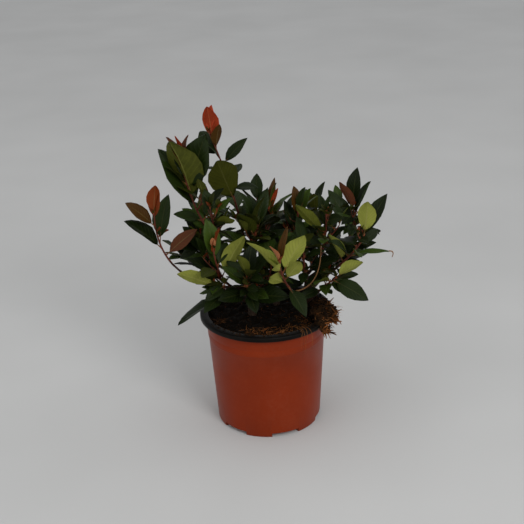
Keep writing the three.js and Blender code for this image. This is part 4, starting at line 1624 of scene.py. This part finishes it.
# How many more or fewer fine twigs and filling leaves a mass has.
DENSITY = {
    "top": 0.25, "upper_left": 0.25, "far_left": 0, "front_left": 0, "front_mid": 0, "right": 0.25,
    "inner_left": 1.5, "inner_front": 1.5, "inner_right": 1.5, "low_front": 1.5, "back_mid": 1.5,
    "back_low_left": 1.5, "back_low_right": 1.5
}
FINE_TRIES = 16
FINE_RADII = (0.8, 0.45)
FINE_LENGTH = (12, 24)
FINE_LIFT = (20, 60)
FINE_RISE = 20
FINE_LEAVES = 3
FINE_LEAF = (32, 16)
FINE_LEAF_LIFT = (20, 70)
FILL_TRIES = 110
FILL_LEAVES = 9
FILL_LEAF = (30, 50)
FILL_LIFT = (-10, 75)
FILL_CLEAR = {"other": 1.6, "own": 1.4, "limb": 0.8}
FILL_REACH = 3
FILL_DARK = 0.7
YOUNG_LEAVES = 3
YOUNG_LEAF = (7, 14)
YOUNG_LIFT = (55, 82)
YOUNG_ORANGE = 0.35
# How their blades differ from each other, in degrees.
LOOSE_ROLL = 40
LOOSE_DROOP = (12, 34)
LOOSE_FOLD = (8, 24)


class Finer:
    """What one mass grows beyond its source, within its box: twigs and filling leaves clear of what is
    there, and young leaves at the tips.
    """

    def __init__(self, mass: Mass, crown: Crown, index: int) -> None:
        """Grows fine twigs, then leaves between those of the source, then the tip's.

        Args:
            mass: The mass.
            crown: What is there already.
            index: The mass's place in the list, which seeds the dice.
        """
        self.mass = mass
        self.crown = crown
        self.dice = Dice(FINE_SEED + index)
        low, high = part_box(f"foliage_{mass.shoot.name}")
        self.share = DENSITY.get(mass.shoot.name, 1)
        self.low = np.array(low) / MM - FILL_REACH
        self.high = np.array(high) / MM + FILL_REACH
        self.twigs: list[Line] = []
        self.leaves: list[Leaf] = []
        self._grow_twigs()
        self._fill()
        self._grow_tip()

    def _inside(self, cloud: Array) -> bool:
        """Whether points lie in the mass's own box."""
        return bool((cloud >= self.low).all() and (cloud <= self.high).all())

    def _leaf(self, foot: Array, bearing: float, lift: float, length: float) -> Leaf:
        """A leaf with a droop, a fold and a roll of its own."""
        return Leaf(
            foot=foot, bearing=bearing, lift=lift, length=length, roll=self.dice.spread(LOOSE_ROLL),
            droop=self.dice.between(*LOOSE_DROOP), fold=self.dice.between(*LOOSE_FOLD),
        )

    def _place(self, leaf: Leaf, tint: Tint) -> bool:
        """Keeps a leaf if it is clear.

        Args:
            leaf: The leaf.
            tint: Its colour.

        Returns:
            Whether it was kept.
        """
        cloud = leaf.cloud()
        name = self.mass.shoot.name
        if not self._inside(cloud) or not self.crown.admits_leaf(cloud, name, False, **FILL_CLEAR):
            return False
        leaf.tint = tint
        self.crown.keep_leaf(cloud, name)
        self.leaves.append(leaf)
        return True

    def _limb(self) -> tuple[Line, float]:
        """Picks where a leaf may grow.

        Returns:
            A limb of the mass, and a share of it that bears leaves.
        """
        lines = self.mass.twigs + self.twigs
        pick = math.floor(self.dice.between(0, 2 * len(lines) + 3))
        if pick < len(lines):
            return lines[pick], self.dice.between(0.4, 1)
        return self.mass.line, self.dice.between(self.mass.shoot.bare * 0.8, 0.98)

    def _grow_twigs(self) -> None:
        """Fine twigs, each with a few small leaves."""
        dice = self.dice
        for _ in range(FINE_TRIES):
            if len(self.twigs) >= FINE_TWIGS * self.share:
                return
            share = dice.between(self.mass.shoot.bare + 0.05, 0.9)
            foot = self.mass.line.at(share)
            bearing, lift = dice.between(0, 360), dice.between(*FINE_LIFT)
            length = dice.between(*FINE_LENGTH)
            line = sprig(foot, length, (bearing, lift), (bearing, lift + FINE_RISE))
            places, radii = line.beads(taper(FINE_RADII))
            if not self._inside(places) or not self.crown.admits_twig(places, radii):
                continue
            self.crown.limbs.append((self.mass.shoot.name, places, radii))
            self.twigs.append(line)
            for i in range(FINE_LEAVES):
                t = i / (FINE_LEAVES - 1)
                leaf = self._leaf(
                    line.at(mix(TWIG_LOWEST, 0.98, t)), bearing + TWIG_ASIDE + i * SPIRAL_TURN,
                    mix(*FINE_LEAF_LIFT, t), mix(*FINE_LEAF, t) * dice.between(0.85, 1.1)
                )
                self._place(leaf, Tint.OLIVE if i else Tint.DEEP)

    def _fill(self) -> None:
        """Leaves wherever there is room for one."""
        dice = self.dice
        kept = 0
        for _ in range(FILL_TRIES):
            line, share = self._limb()
            leaf = self._leaf(
                line.at(share), dice.between(0, 360), dice.between(*FILL_LIFT),
                dice.between(*FILL_LEAF) * mix(1, 0.75, share)
            )
            kept += self._place(leaf, Tint.DEEP if dice.roll() < FILL_DARK else Tint.MID)
            if kept >= FILL_LEAVES * self.share:
                return

    def _grow_tip(self) -> None:
        """Small young leaves at the shoot's tip and the twigs' tips."""
        dice = self.dice
        for line in [self.mass.line, *self.mass.twigs, *self.twigs]:
            start = dice.between(0, 360)
            for i in range(YOUNG_LEAVES):
                leaf = self._leaf(
                    line.at(0.995), start + i * SPIRAL_TURN, dice.between(*YOUNG_LIFT),
                    dice.between(*YOUNG_LEAF)
                )
                if self._inside(leaf.cloud()):
                    leaf.tint = Tint.ORANGE if dice.roll() < YOUNG_ORANGE else Tint.OLIVE
                    self.leaves.append(leaf)


@dataclass
class Foliage:
    """The leaves, their stalks, the green shoots and the buds.

    Args:
        plant: The plant after its growth.
        red: The masses whose slot would be the red one; build works it out but gives no piece that slot.
        shade_height: Height of the lowest green leaves, the ones painted darkest as painted shade.
        shade_fade: How far above that the painted shade fades out, so that leaves are no longer darkened.
        budded: Length of the shortest leaf with a bud.
        side_bud: Half the size of a bud over a stalk.
        tip_bud: Half the size of a bud at a shoot's tip.
        full_leaf: Length of the shortest leaf with a stalk of full thickness.
    """

    plant: Plant
    red: tuple[str, ...] = ("top", "upper_left", "far_left", "front_left", "middle", "back_mid")
    shade_height: float = 190
    shade_fade: float = 100
    budded: float = 20
    side_bud: Triple = (0.8, 0.8, 1.6)
    tip_bud: Triple = (1.1, 1.1, 2.6)
    full_leaf: float = 45
    blade: Blade = field(default_factory=Blade)
    stalk: Stock = field(default_factory=lambda: tube_stock(5, 3))
    bud: Stock = field(default_factory=lambda: ball_stock(1))
    habit: Dice = field(default_factory=lambda: Dice(77))
    finishes: dict[Tint, list[bpy.types.Material]] = field(default_factory=dict)

    def _materials(self, tints: Sequence[Tint]) -> list[bpy.types.Material]:
        """The materials of some tints, each made once.

        Args:
            tints: The tints.

        Returns:
            The upper and the under material of each.
        """
        made = []
        for tint in tints:
            if tint not in self.finishes:
                finish = TINTS[tint]
                self.finishes[tint] = [finish.upper.material(), finish.under.material()]
            made += self.finishes[tint]
        return made

    def build(self) -> None:
        """Makes one piece of leaves for each mass, and joined pieces of the rest."""
        shoots, stalks, buds = Heap(), Heap(), Heap()
        self._shoots(shoots, buds)
        twig = tube_stock(6, 5)
        for index, mass in enumerate(self.plant.masses):
            finer = Finer(mass, self.plant.crown, index)
            name = mass.shoot.name
            leaves = mass.leaves + finer.leaves
            tints = sorted({leaf.tint for leaf in leaves}, key=lambda t: t.value)
            widths, hang, turn = (table.get(name, {}) for table in (WIDTHS, HANG, TURN))
            heap = Heap()
            for number, leaf in enumerate(leaves):
                tone = self._shade_by_height_and_chance(leaf)
                leaf.droop += hang.get(number, 0)
                leaf.turn(turn.get(number, 0))
                places = self.blade.places(leaf, self.habit, widths.get(number, 1))
                shift = len(Side) * tints.index(leaf.tint)
                heap.add(self.blade.stock, places, shift, tone)
                self._stalk(stalks, leaf)
                if leaf.length > self.budded:
                    self._bud(buds, leaf)
            slot = "foliage_red" if name in self.red else "foliage_green"
            replaced = [f"foliage_{name}"]
            piece(heap.mesh(f"leaves_{name}"), self._materials(tints), replaced)
            for line in mass.twigs:
                shoots.add(twig, limb_places(twig, line, taper(TWIG_RADII), relief=0.15))
            for line in finer.twigs:
                shoots.add(twig, limb_places(twig, line, taper(FINE_RADII), relief=0.1))
        piece(shoots.mesh("shoots"), [SHOOT_SKIN.material()])
        piece(stalks.mesh("leaf_stalks"), [PETIOLE_SKIN.material()])
        piece(buds.mesh("buds"), [BUD_SKIN.material()])

    def _shade_by_height_and_chance(self, leaf: Leaf) -> float:
        """How light a leaf is in its tint: a random tone, with painted shade that darkens the low green
        ones.

        Args:
            leaf: The leaf.

        Returns:
            From 0, dark, to 1, light.
        """
        roll = self.habit.roll()
        if leaf.tint not in (Tint.DEEP, Tint.MID, Tint.OLIVE):
            return mix(0.35, 0.75, roll)
        # Painted shade: a green leaf's random tone is scaled down the lower it sits, to 15% at the bottom,
        # as shade low in the plant.
        return roll * mix(0.15, 1, min(max((leaf.foot[2] - self.shade_height) / self.shade_fade, 0), 1))

    def _shoots(self, shoots: Heap, buds: Heap) -> None:
        """Adds the leafy end of each shoot, and the bud at its tip.

        Args:
            shoots: Takes the shoots.
            buds: Takes the buds.
        """
        tube, ball = tube_stock(8, 14), ball_stock(2)
        for mass in self.plant.masses:
            ends = (mass.shoot.bare - 0.02, 1.0)
            places = limb_places(tube, mass.line, taper(SHOOT_RADII), ends, 0.2)
            shoots.add(tube, places, 0, self.habit.roll())
            tip = mass.line.at(1.0) + mass.line.along(1.0) * 1.2
            buds.add(ball, lump_places(ball, tip, self.tip_bud, self.habit))

    def _stalk(self, stalks: Heap, leaf: Leaf) -> None:
        """Adds a leaf's stalk, from inside its limb to under its blade.

        Args:
            stalks: Takes the stalk.
            leaf: The leaf.
        """
        share = np.array([-1, -0.45, 0.14])
        start, via, tip = leaf.points(share, np.zeros(3), np.array([0, 0.4, -0.45]))
        size = max(min(leaf.length / self.full_leaf, 1), 0.45)
        line = Line(start, via, tip)
        places = limb_places(self.stalk, line, lambda s: size * mix(1.0, 0.55, s))
        stalks.add(self.stalk, places, 0, self.habit.roll())

    def _bud(self, buds: Heap, leaf: Leaf) -> None:
        """The small bud in the angle over a stalk."""
        spot = leaf.foot + leaf.direction * 2.2 + np.array([0, 0, 1.8])
        buds.add(self.bud, lump_places(self.bud, spot, self.side_bud, self.habit))


@dataclass
class Wood:
    """The stems, the bare boughs and what is dead, with the relief of their bark.

    Args:
        plant: The plant after its growth.
        sunk: How far a stem starts below the peat, as a share of it.
        arch_from: Where the dead shoot leaves its bough, as a share of it.
        arch: The point that bends the dead shoot, and its tip.
        curl: The same for the dry tip of a leaf, seen from where it starts.
    """

    plant: Plant
    sunk: float = 0.08
    arch_from: float = 0.35
    arch: tuple[Triple, Triple] = ((78, -54, 222), (78, -48, 284))
    curl: tuple[Triple, Triple] = ((9, 0, 1), (5, 0, -9))

    def build(self) -> None:
        """Makes the stems, the boughs and what is dead, each as one piece."""
        stems, boughs = Heap(), Heap()
        trunk, limb = tube_stock(16, 56), tube_stock(12, 36)
        for stem in STEMS:
            line = self.plant.lines[stem.name]
            places = limb_places(trunk, line, stem.radius, (-self.sunk, 1.01), 0.9)
            stems.add(trunk, places)
        for shoot in SHOOTS:
            line = self.plant.lines[shoot.name]
            places = limb_places(limb, line, self._bough_radius, (0, shoot.bare), 0.45)
            boughs.add(limb, places)
        piece(stems.mesh("stems"), [BARK.material()], [s.name for s in STEMS])
        names = [f"bough_{s.name}" for s in SHOOTS]
        piece(boughs.mesh("boughs"), [BOUGH_BARK.material()], names)
        self._build_dead()

    def _build_dead(self) -> None:
        """A dead shoot that arches over the front, and a leaf's dry curled tip."""
        dead, tube = Heap(), tube_stock(7, 16)
        arch = Line(self.plant.lines["front_mid"].at(self.arch_from), *self.arch)
        dead.add(tube, limb_places(tube, arch, taper((1.1, 0.6)), relief=0.25), 0, 0.8)
        masses = {mass.shoot.name: mass for mass in self.plant.masses}
        tip = masses["right"].leaves[1].points(np.array([0.97]), np.zeros(1), np.zeros(1))[0]
        curl = Line(tip, *(tip + step for step in self.curl))
        dead.add(tube, limb_places(tube, curl, taper((0.9, 0.5)), relief=0.2), 0, 0.4)
        piece(dead.mesh("dead_wood"), [DEAD_WOOD.material()])

    @staticmethod
    def _bough_radius(share: float) -> float:
        """A bough's radius, swollen where it leaves its parent."""
        return mix(*SHOOT_RADII, share) + 0.9 * math.exp(-share * 14)


@dataclass
class Pot:
    """The terracotta-coloured pot on six feet, and its black rolled rim.

    Args:
        steps: How many steps a full turn has.
        channels: How many drain channels cross the foot.
        span: The angle that a channel takes, in degrees.
        first: Bearing of the first channel.
        channel_from: Radius where a channel starts.
        channel_height: Its height.
        drain: Radius of the hole in each.
        drain_at: The hole's distance from the middle.
        floor: Height of the floor's upper side, over the channels' roofs.
        line: Height of the fine line round the wall.
        drop: Height of the rim's outer band.
        thick: Thickness of the rim's outer band.
        roll: Radius of the rim's edge.
    """

    steps: int = 160
    channels: int = 6
    span: float = 31
    first: float = -72.5
    channel_from: float = 50
    channel_height: float = 6
    drain: float = 4
    drain_at: float = 62
    floor: float = 7.8
    line: float = BAND_HEIGHT + 10
    drop: float = 6.5
    thick: float = 1.4
    roll: float = 2

    @staticmethod
    def wall(z: float) -> float:
        """Outer radius of the wall above its band."""
        return mix(FOOT_RADIUS, TOP_RADIUS, z / WALL_TOP)

    @staticmethod
    def inner(z: float) -> float:
        """Inner radius of the wall."""
        return Pot.wall(z) - BAND_STEP - WALL

    def build(self) -> None:
        """Makes the pot and the rim."""
        wall, inner, band, line = self.wall, self.inner, BAND_HEIGHT, self.line
        # The foot's edge is round, and the thin wall bows in a little below the band.
        outside = [
            (0, 0), (FOOT_RADIUS - 1.5, 0), (FOOT_RADIUS - 0.45, 0.45), (FOOT_RADIUS, 1.5),
            (wall(40) - 0.2, 40), (wall(90) - 0.45, 90), (wall(band) - BAND_STEP, band),
            (wall(band + 0.8) - 0.1, band + 0.7), (wall(band + 1.2), band + 1.2),
            (wall(line - 0.8), line - 0.8), (wall(line) - 0.25, line),
            (wall(line + 0.8), line + 0.8), (wall(156), 156), (TOP_RADIUS, WALL_TOP),
            (inner(WALL_TOP), WALL_TOP), (inner(band), band), (inner(PEAT_BOTTOM), self.floor),
            (0, self.floor)
        ]
        pot = self._cut(mesh_of(spun(outside, self.steps), "pot_shell"))
        piece(pot, [TERRACOTTA.material()], ["pot"])
        self._build_rim()

    def _channel(self, bearing: float) -> bpy.types.Mesh:
        """The space of one drain channel and the hole in its roof.

        Args:
            bearing: Its bearing, in degrees.

        Returns:
            A mesh that reaches below the pot and beyond its wall.
        """
        low, high, top = self.channel_from, RIM_RADIUS, self.channel_height
        box = [(low, -top), (high, -top), (high, top), (low, top), (low, -top)]
        sector = spun(box, 12, self.span)
        bmesh.ops.holes_fill(sector, edges=[e for e in sector.edges if e.is_boundary])
        turn = Matrix.Rotation(math.radians(bearing) - math.radians(self.span / 2), 4, "Z")
        bmesh.ops.transform(sector, matrix=turn, verts=sector.verts)
        out = Matrix.Translation((self.drain_at * MM, 0, top * MM))
        bmesh.ops.create_cone(
            sector, cap_ends=True, segments=20, radius1=self.drain * MM, radius2=self.drain * MM,
            depth=6 * MM, matrix=Matrix.Rotation(math.radians(bearing), 4, "Z") @ out
        )
        bmesh.ops.recalc_face_normals(sector, faces=sector.faces)
        return plain_mesh(sector, "channel")

    def _cut(self, mesh: bpy.types.Mesh) -> bpy.types.Mesh:
        """Cuts the drain channels and holes out of the foot.

        Args:
            mesh: The whole pot.

        Returns:
            The pot with its channels.
        """
        cutter = bmesh.new()
        for i in range(self.channels):
            part = self._channel(self.first + i * 360 / self.channels)
            cutter.from_mesh(part)
            bpy.data.meshes.remove(part)
        whole = placed("pot_whole", mesh)
        knife = placed("pot_knife", plain_mesh(cutter, "channels"))
        boolean = whole.modifiers.new("channels", "BOOLEAN")
        boolean.operation = "DIFFERENCE"
        boolean.object = knife
        boolean.solver = "EXACT"
        boolean.use_self = True
        bpy.context.view_layer.update()
        graph = bpy.context.evaluated_depsgraph_get()
        cut = bpy.data.meshes.new_from_object(whole.evaluated_get(graph))
        for made in (whole, knife):
            bpy.data.objects.remove(made)
        bm = bmesh.new()
        bm.from_mesh(cut)
        bpy.data.meshes.remove(cut)
        return mesh_of(bm, "pot_shell")

    def _build_rim(self) -> None:
        """The black rolled rim, with the lining that runs down into the peat."""
        foot = self.inner(SKIRT_FOOT) - GAP
        roll = self.roll
        under = WALL_TOP + GAP
        low = POT_HEIGHT - self.drop
        lip = RIM_RADIUS - self.thick
        inside = self.inner(POT_HEIGHT) - GAP - SKIRT
        profile = [
            (foot - SKIRT, SKIRT_FOOT), (foot, SKIRT_FOOT), (self.inner(WALL_TOP) - GAP, under),
            (lip - roll, under), (lip - 0.5, under - 0.5), (lip, under - roll), (lip, low + 0.2),
            (lip + 0.4, low), (RIM_RADIUS - 0.4, low), (RIM_RADIUS, low + 0.5),
            (RIM_RADIUS, POT_HEIGHT - roll), (RIM_RADIUS - 0.25, POT_HEIGHT - 0.9),
            (RIM_RADIUS - 0.9, POT_HEIGHT - 0.25), (RIM_RADIUS - roll, POT_HEIGHT),
            (inside + 1.6, POT_HEIGHT), (inside + 0.5, POT_HEIGHT - 0.5),
            (inside, POT_HEIGHT - roll), (foot - SKIRT, SKIRT_FOOT)
        ]
        rim = mesh_of(spun(profile, self.steps), "pot_rim_rolled", 50)
        piece(rim, [BLACK.material()], ["pot_rim"])


# The peat's surface, with the values of the part's source: its heap against the rim, and its
# waves, each with a height, radians per millimetre across and back, and a phase.
HEAP = 22
HEAP_AT = (82, 6)
HEAP_REACH = 28
PEAT_WAVES = ((2, 0.19, 0.23, 1.3), (1.2, 0.41, 0.37, 0))
# The clump of lumps, from the inner to the outer end. Bearings are in degrees.
CLUMP_SEED = 41
CLUMP_LUMPS = 9
CLUMP_BEARING = -20
CLUMP_SPAN = 24
CLUMP_RADIUS = (76, 101)
CLUMP_SIZE = (13, 7)
CLUMP_STRETCH = (0.9, 1.5)
CLUMP_FLAT = 0.75
CLUMP_RISE = 5
CLUMP_FALL = 6


@dataclass
class Peat:
    """The peat, its heap and the clump of bark and fibre that spills over the rim.

    Args:
        steps: How many steps a full turn has.
        rings: How many rings its surface has.
        crumbs: How many crumbs lie on it.
        chips: How many chips of bark.
        fibres: How many fibres.
        shreds: How many strips of bark stick out of the clump.
        hanging: How many fibres hang over the rim.
        spilt: How many crumbs lie on the rim.
        patches: Where the fibres gather: across, back and reach.
        rough: How far its fine bumps stand out.
        uneven: How uneven a crumb is, as a share of its size.
    """

    steps: int = 144
    rings: int = 44
    crumbs: int = 1700
    chips: int = 130
    fibres: int = 480
    shreds: int = 100
    hanging: int = 6
    spilt: int = 170
    patches: tuple[Triple, ...] = (
        (-14, -60, 18), (10, -62, 18), (26, -60, 16), (-68, -20, 10), (52, -22, 14), (58, -44, 12)
    )
    rough: float = 1.1
    uneven: float = 0.22
    dice: Dice = field(default_factory=lambda: Dice(4100))
    lumps: list[Matrix] = field(default_factory=list)

    @staticmethod
    def height(x: float, y: float) -> float:
        """Height of the peat's surface.

        Args:
            x: Across.
            y: Back.

        Returns:
            Its height.
        """
        away = math.hypot(x - HEAP_AT[0], y - HEAP_AT[1]) / HEAP_REACH
        made = PEAT_LEVEL + HEAP * math.exp(-away * away)
        for tall, across, back, phase in PEAT_WAVES:
            made += tall * math.sin(x * across + phase) * math.cos(y * back)
        return made

    def build(self) -> None:
        """Makes the bed, the clump and what lies on them."""
        within = 2 * GAP + SKIRT
        edge = Pot.inner(PEAT_LEVEL) - within
        top = [(edge * (1 - i / self.rings), PEAT_LEVEL) for i in range(self.rings + 1)]
        side = [
            (0, PEAT_BOTTOM), (Pot.inner(PEAT_BOTTOM) - GAP, PEAT_BOTTOM),
            (Pot.inner(SKIRT_FOOT) - within, SKIRT_FOOT - SKIRT)
        ]
        bed = spun([*side, *top], self.steps)
        for vert in bed.verts:
            x, y, z = vert.co / MM
            if z > PEAT_LEVEL - GAP:
                bump = self.rough * noise.fractal(Vector((x, y, 0)) * 0.16, 1.0, 2.0, 4)
                vert.co.z = (self.height(x, y) + bump) * MM
        piece(mesh_of(bed, "peat_bed", 80), [PEAT.material()], ["peat"])
        self._build_clump()
        self._scatter_crumbs()
        self._scatter_chips()
        self._lay_fibres()
        self._build_shreds()

    def _build_clump(self) -> None:
        """The lumps of the clump, by the source's rule, made uneven."""
        dice, heap, ball = Dice(CLUMP_SEED), Heap(), ball_stock(4)
        for i in range(CLUMP_LUMPS):
            out = i / (CLUMP_LUMPS - 1)
            bearing = math.radians(CLUMP_BEARING + dice.spread(CLUMP_SPAN))
            stretch = dice.between(*CLUMP_STRETCH)
            turn = dice.spread(1)
            rise = CLUMP_RISE * (1 - out) - CLUMP_FALL * out * out
            size = mix(*CLUMP_SIZE, out)
            pose = (
                Matrix.Rotation(bearing, 4, "Z")
                @ Matrix.Translation((mix(*CLUMP_RADIUS, out), 0, POT_HEIGHT + rise))
                @ Matrix.Rotation(out, 4, "Y")
                @ Matrix.Rotation(turn, 4, "Z")
                @ Matrix.Diagonal((size, size * stretch, size * CLUMP_FLAT, 1))
            )
            self.lumps.append(pose)
            heap.add(ball, np.array([tuple(pose @ self._uneven(Vector(v), i)) for v in ball.rest]))
        piece(heap.mesh("clump"), [CRUMB.material()])

    @staticmethod
    def _uneven(v: Vector, seed: int) -> Vector:
        """A point of the unit ball moved in or out."""
        return v * (0.94 + 0.14 * noise.fractal(v * 2.6 + Vector((seed, 0, 0)), 0.8, 2.0, 4))

    def _spot(self, clump: float, gathered: float = 0) -> Array:
        """Draws a place for something that lies on the peat.

        Args:
            clump: The share of places that are on the clump.
            gathered: The share of the others that are in a patch.

        Returns:
            The place.
        """
        dice = self.dice
        if dice.roll() < clump:
            pose = self.lumps[math.floor(dice.between(0, len(self.lumps) - 0.01))]
            out = heading(dice.between(0, 360), dice.between(-20, 90))
            return np.array(pose @ Vector(out))
        edge = Pot.inner(PEAT_LEVEL) - 4
        reach, turn = edge * math.sqrt(dice.roll()), dice.between(0, 2 * math.pi)
        x, y = reach * math.cos(turn), reach * math.sin(turn)
        if dice.roll() < gathered:
            across, back, size = self.patches[math.floor(dice.roll() * len(self.patches))]
            x, y = across + x * size / edge, back + y * size / edge
            inwards = min(1, edge / math.hypot(x, y))
            x, y = x * inwards, y * inwards
        return np.array([x, y, self.height(x, y)])

    def _scatter_crumbs(self) -> None:
        """Crumbs, most of them small, and those that lie on the rim's front."""
        dice, crumbs, ball = self.dice, Heap(), ball_stock(1)

        def drop(spot: Array, sizes: Triple) -> None:
            """Adds a crumb."""
            places = lump_places(ball, spot, sizes, dice, self.uneven)
            crumbs.add(ball, places, 0, self._shade_by_place_and_chance(spot))

        for _ in range(self.crumbs):
            size = 0.6 + 1.9 * dice.roll() ** 2.2
            sizes = (size * dice.between(0.8, 1.5), size, size * dice.between(0.5, 0.9))
            drop(self._spot(0.3), sizes)
        for _ in range(self.spilt):
            turn, out = math.radians(-90 + dice.spread(62)), TOP_RADIUS - 3 + 7 * dice.roll() ** 2
            spot = np.array([out * math.cos(turn), out * math.sin(turn), POT_HEIGHT])
            drop(spot, (dice.between(0.5, 1.8), dice.between(0.5, 1.1), dice.between(0.3, 0.8)))
        piece(crumbs.mesh("peat_crumbs"), [CRUMB.material()])

    def _scatter_chips(self) -> None:
        """Chips of bark, half of them in the patches."""
        dice, chips, chip = self.dice, Heap(), chip_stock()
        for _ in range(self.chips):
            sizes = (dice.between(0.9, 2.8), dice.between(0.5, 1.3), dice.between(0.2, 0.5))
            spot = self._spot(0.3, 0.5) + np.array([0, 0, 0.5])
            chips.add(chip, lump_places(chip, spot, sizes, dice), 0, self._shade_by_place_and_chance(spot) * 0.8)
        piece(chips.mesh("bark_chips"), [CHIP.material()])

    def _lay_fibres(self) -> None:
        """Fibres, most of them in the patches, and those that hang over the rim."""
        dice, fibres, hair, long_hair = self.dice, Heap(), tube_stock(3, 5), tube_stock(3, 12)
        for _ in range(self.fibres):
            start = self._spot(0.2, 0.85) + np.array([0, 0, 0.3])
            turn, length = dice.between(0, 360), dice.between(4, 14)
            low = (turn, dice.between(5, 30))
            high = (turn + dice.spread(50), dice.between(-30, 10))
            self._fibre(fibres, hair, sprig(start, length, low, high))
        for _ in range(self.hanging):
            x = 50 + dice.spread(9)
            start = np.array([x - 6, -66, POT_HEIGHT + 1])
            via = np.array([x + 5 + dice.spread(4), -89, dice.between(178, 188)])
            tip = np.array([x + 2 + dice.spread(3), -83, dice.between(126, 162)])
            self._fibre(fibres, long_hair, Line(start, via, tip))
        piece(fibres.mesh("fibres"), [FIBRE.material()])

    def _fibre(self, fibres: Heap, hair: Stock, line: Line) -> None:
        """Adds a fibre of its own thickness, and its tone with painted light and shade by place.

        Args:
            fibres: Takes the fibre.
            hair: The unit tube.
            line: Its centre line.
        """
        thick = self.dice.between(0.14, 0.34)
        places = limb_places(hair, line, lambda s: thick * (1.1 - 0.6 * s))
        fibres.add(hair, places, 0, self._shade_by_place_and_chance(line.at(0)))

    def _shade_by_place_and_chance(self, spot: Array) -> float:
        """How pale a crumb or a fibre is: a random tone, with painted light at the clump's outer end and the
        front, and painted shade elsewhere.
        """
        # Painted light and shade: dry here is the share by which a spot lies out at the clump's end or at
        # the front, where it is painted lit; spots further in, under the plant, are painted in shade.
        dry = max((spot[0] - 78) / 16, (-spot[1] - 36) / 22)
        return self.dice.roll() * min(max(dry, 0.2), 1)

    def _build_shreds(self) -> None:
        """Strips of bark that stick out of the clump, most of them at its outer end."""
        dice, heap, strip = self.dice, Heap(), tube_stock(4, 4)
        for _ in range(self.shreds):
            pose = self.lumps[math.floor(len(self.lumps) * dice.roll() ** 0.45)]
            out = heading(dice.between(-110, 60), dice.between(-60, 60))
            start = np.array(pose @ Vector(out * 0.85))
            turn, length = -30 + dice.spread(60), dice.between(6, 15)
            lift = dice.between(-50, 50)
            high = (turn + dice.spread(40), lift + dice.spread(50))
            line = sprig(start, length, (turn, lift), high)
            thick = dice.between(0.7, 1.7)
            places = limb_places(strip, line, lambda s: thick * (1.05 - 0.75 * s))
            heap.add(strip, places, 0, self._shade_by_place_and_chance(start))
        piece(heap.mesh("clump_shreds"), [SHRED.material()])


@dataclass(frozen=True)
class Softbox:
    """A square soft light that looks at the plant.

    Args:
        name: Its name.
        place: Where it hangs, in metres.
        size: Its width, in metres.
        power: Its power, in watts.
    """

    name: str
    place: Triple
    size: float
    power: float

    def build(self) -> None:
        """Makes the light."""
        light = bpy.data.lights.new(self.name, "AREA")
        light.size = self.size
        light.energy = self.power
        made = placed(self.name, light)
        made.location = self.place
        aim = Vector((0, 0, 0.2)) - Vector(self.place)
        made.rotation_euler = aim.to_track_quat("-Z", "Y").to_euler()


@dataclass
class Studio:
    """A plain pale floor, soft light, and a camera at the photograph's angle.

    Args:
        distance: From the camera to its target, in metres.
        height: Of the target over the floor.
        aside: The target's distance to the right of the pot's axis.
        elevation: Of the camera, in degrees.
        roll: Of the camera, in degrees.
        lens: Focal length for a sensor 36 mm wide.
        floor: Radius of the floor.
        lights: The soft lights.
        sky: The colour of the light from all round.
        sky_strength: Its strength.
    """

    distance: float = 1.417
    height: float = 0.2428
    aside: float = -0.0028
    elevation: float = 23.1
    roll: float = -2.15
    lens: float = 68.7
    floor: float = 12
    lights: tuple[Softbox, ...] = (
        Softbox("key", (1.0, -1.8, 1.6), 0.9, 24),
        Softbox("fill", (-1.7, -1.3, 1.3), 2.0, 7),
        Softbox("top", (-0.2, 0.5, 2.6), 2.4, 6),
    )
    sky: Colour = (0.97, 0.98, 1)
    sky_strength: float = 0.62

    def build(self) -> None:
        """Makes the floor, the lights and the camera, and sets how colours are shown."""
        self._build_floor()
        for light in self.lights:
            light.build()
        world = bpy.data.worlds.new("studio")
        world.use_nodes = True
        sky = world.node_tree.nodes["Background"]
        sky.inputs["Color"].default_value = (*self.sky, 1)
        sky.inputs["Strength"].default_value = self.sky_strength
        scene = bpy.context.scene
        scene.world = world
        scene.view_settings.view_transform = "Standard"
        scene.camera = self._camera()

    def _build_floor(self) -> None:
        """The floor, dull and faintly clouded."""
        bm = bmesh.new()
        bmesh.ops.create_circle(bm, cap_ends=True, segments=96, radius=self.floor)
        mesh = plain_mesh(bm, "floor")
        finish = Nodes("floor_paper")
        pale = ((0.3, (0.5, 0.5, 0.49)), (0.7, (0.54, 0.54, 0.53)))
        finish.colour(finish.ramp(finish.noise(Grain(2.5, 2)), pale))
        finish.roughness(0.85, 0.95, finish.noise(Grain(40, 2)))
        mesh.materials.append(finish.material)
        placed("floor", mesh)

    def _camera(self) -> bpy.types.Object:
        """Sets up the camera.

        Returns:
            The camera, by its elevation, roll and distance.
        """
        rise = math.radians(self.elevation)
        forward = Vector((0, math.cos(rise), -math.sin(rise)))
        up = Vector((0, math.sin(rise), math.cos(rise)))
        right = Vector((1, 0, 0))
        camera = bpy.data.cameras.new("camera")
        camera.sensor_width = 36
        camera.lens = self.lens
        made = placed("camera", camera)
        target = Vector((self.aside, 0, self.height))
        turn = Matrix((right, up, -forward)).transposed()
        roll = Matrix.Rotation(math.radians(self.roll), 3, "Z")
        place = Matrix.Translation(target - forward * self.distance)
        made.matrix_world = place @ (turn @ roll).to_4x4()
        return made


def main() -> None:
    """Builds everything in order."""
    logging.basicConfig(level=logging.INFO, format="%(message)s")
    Pot().build()
    Peat().build()
    plant = Plant()
    LOG.info("%d leaves of the source", sum(len(m.leaves) for m in plant.masses))
    Wood(plant).build()
    Foliage(plant).build()
    Studio().build()


if __name__ == "__main__":
    main()
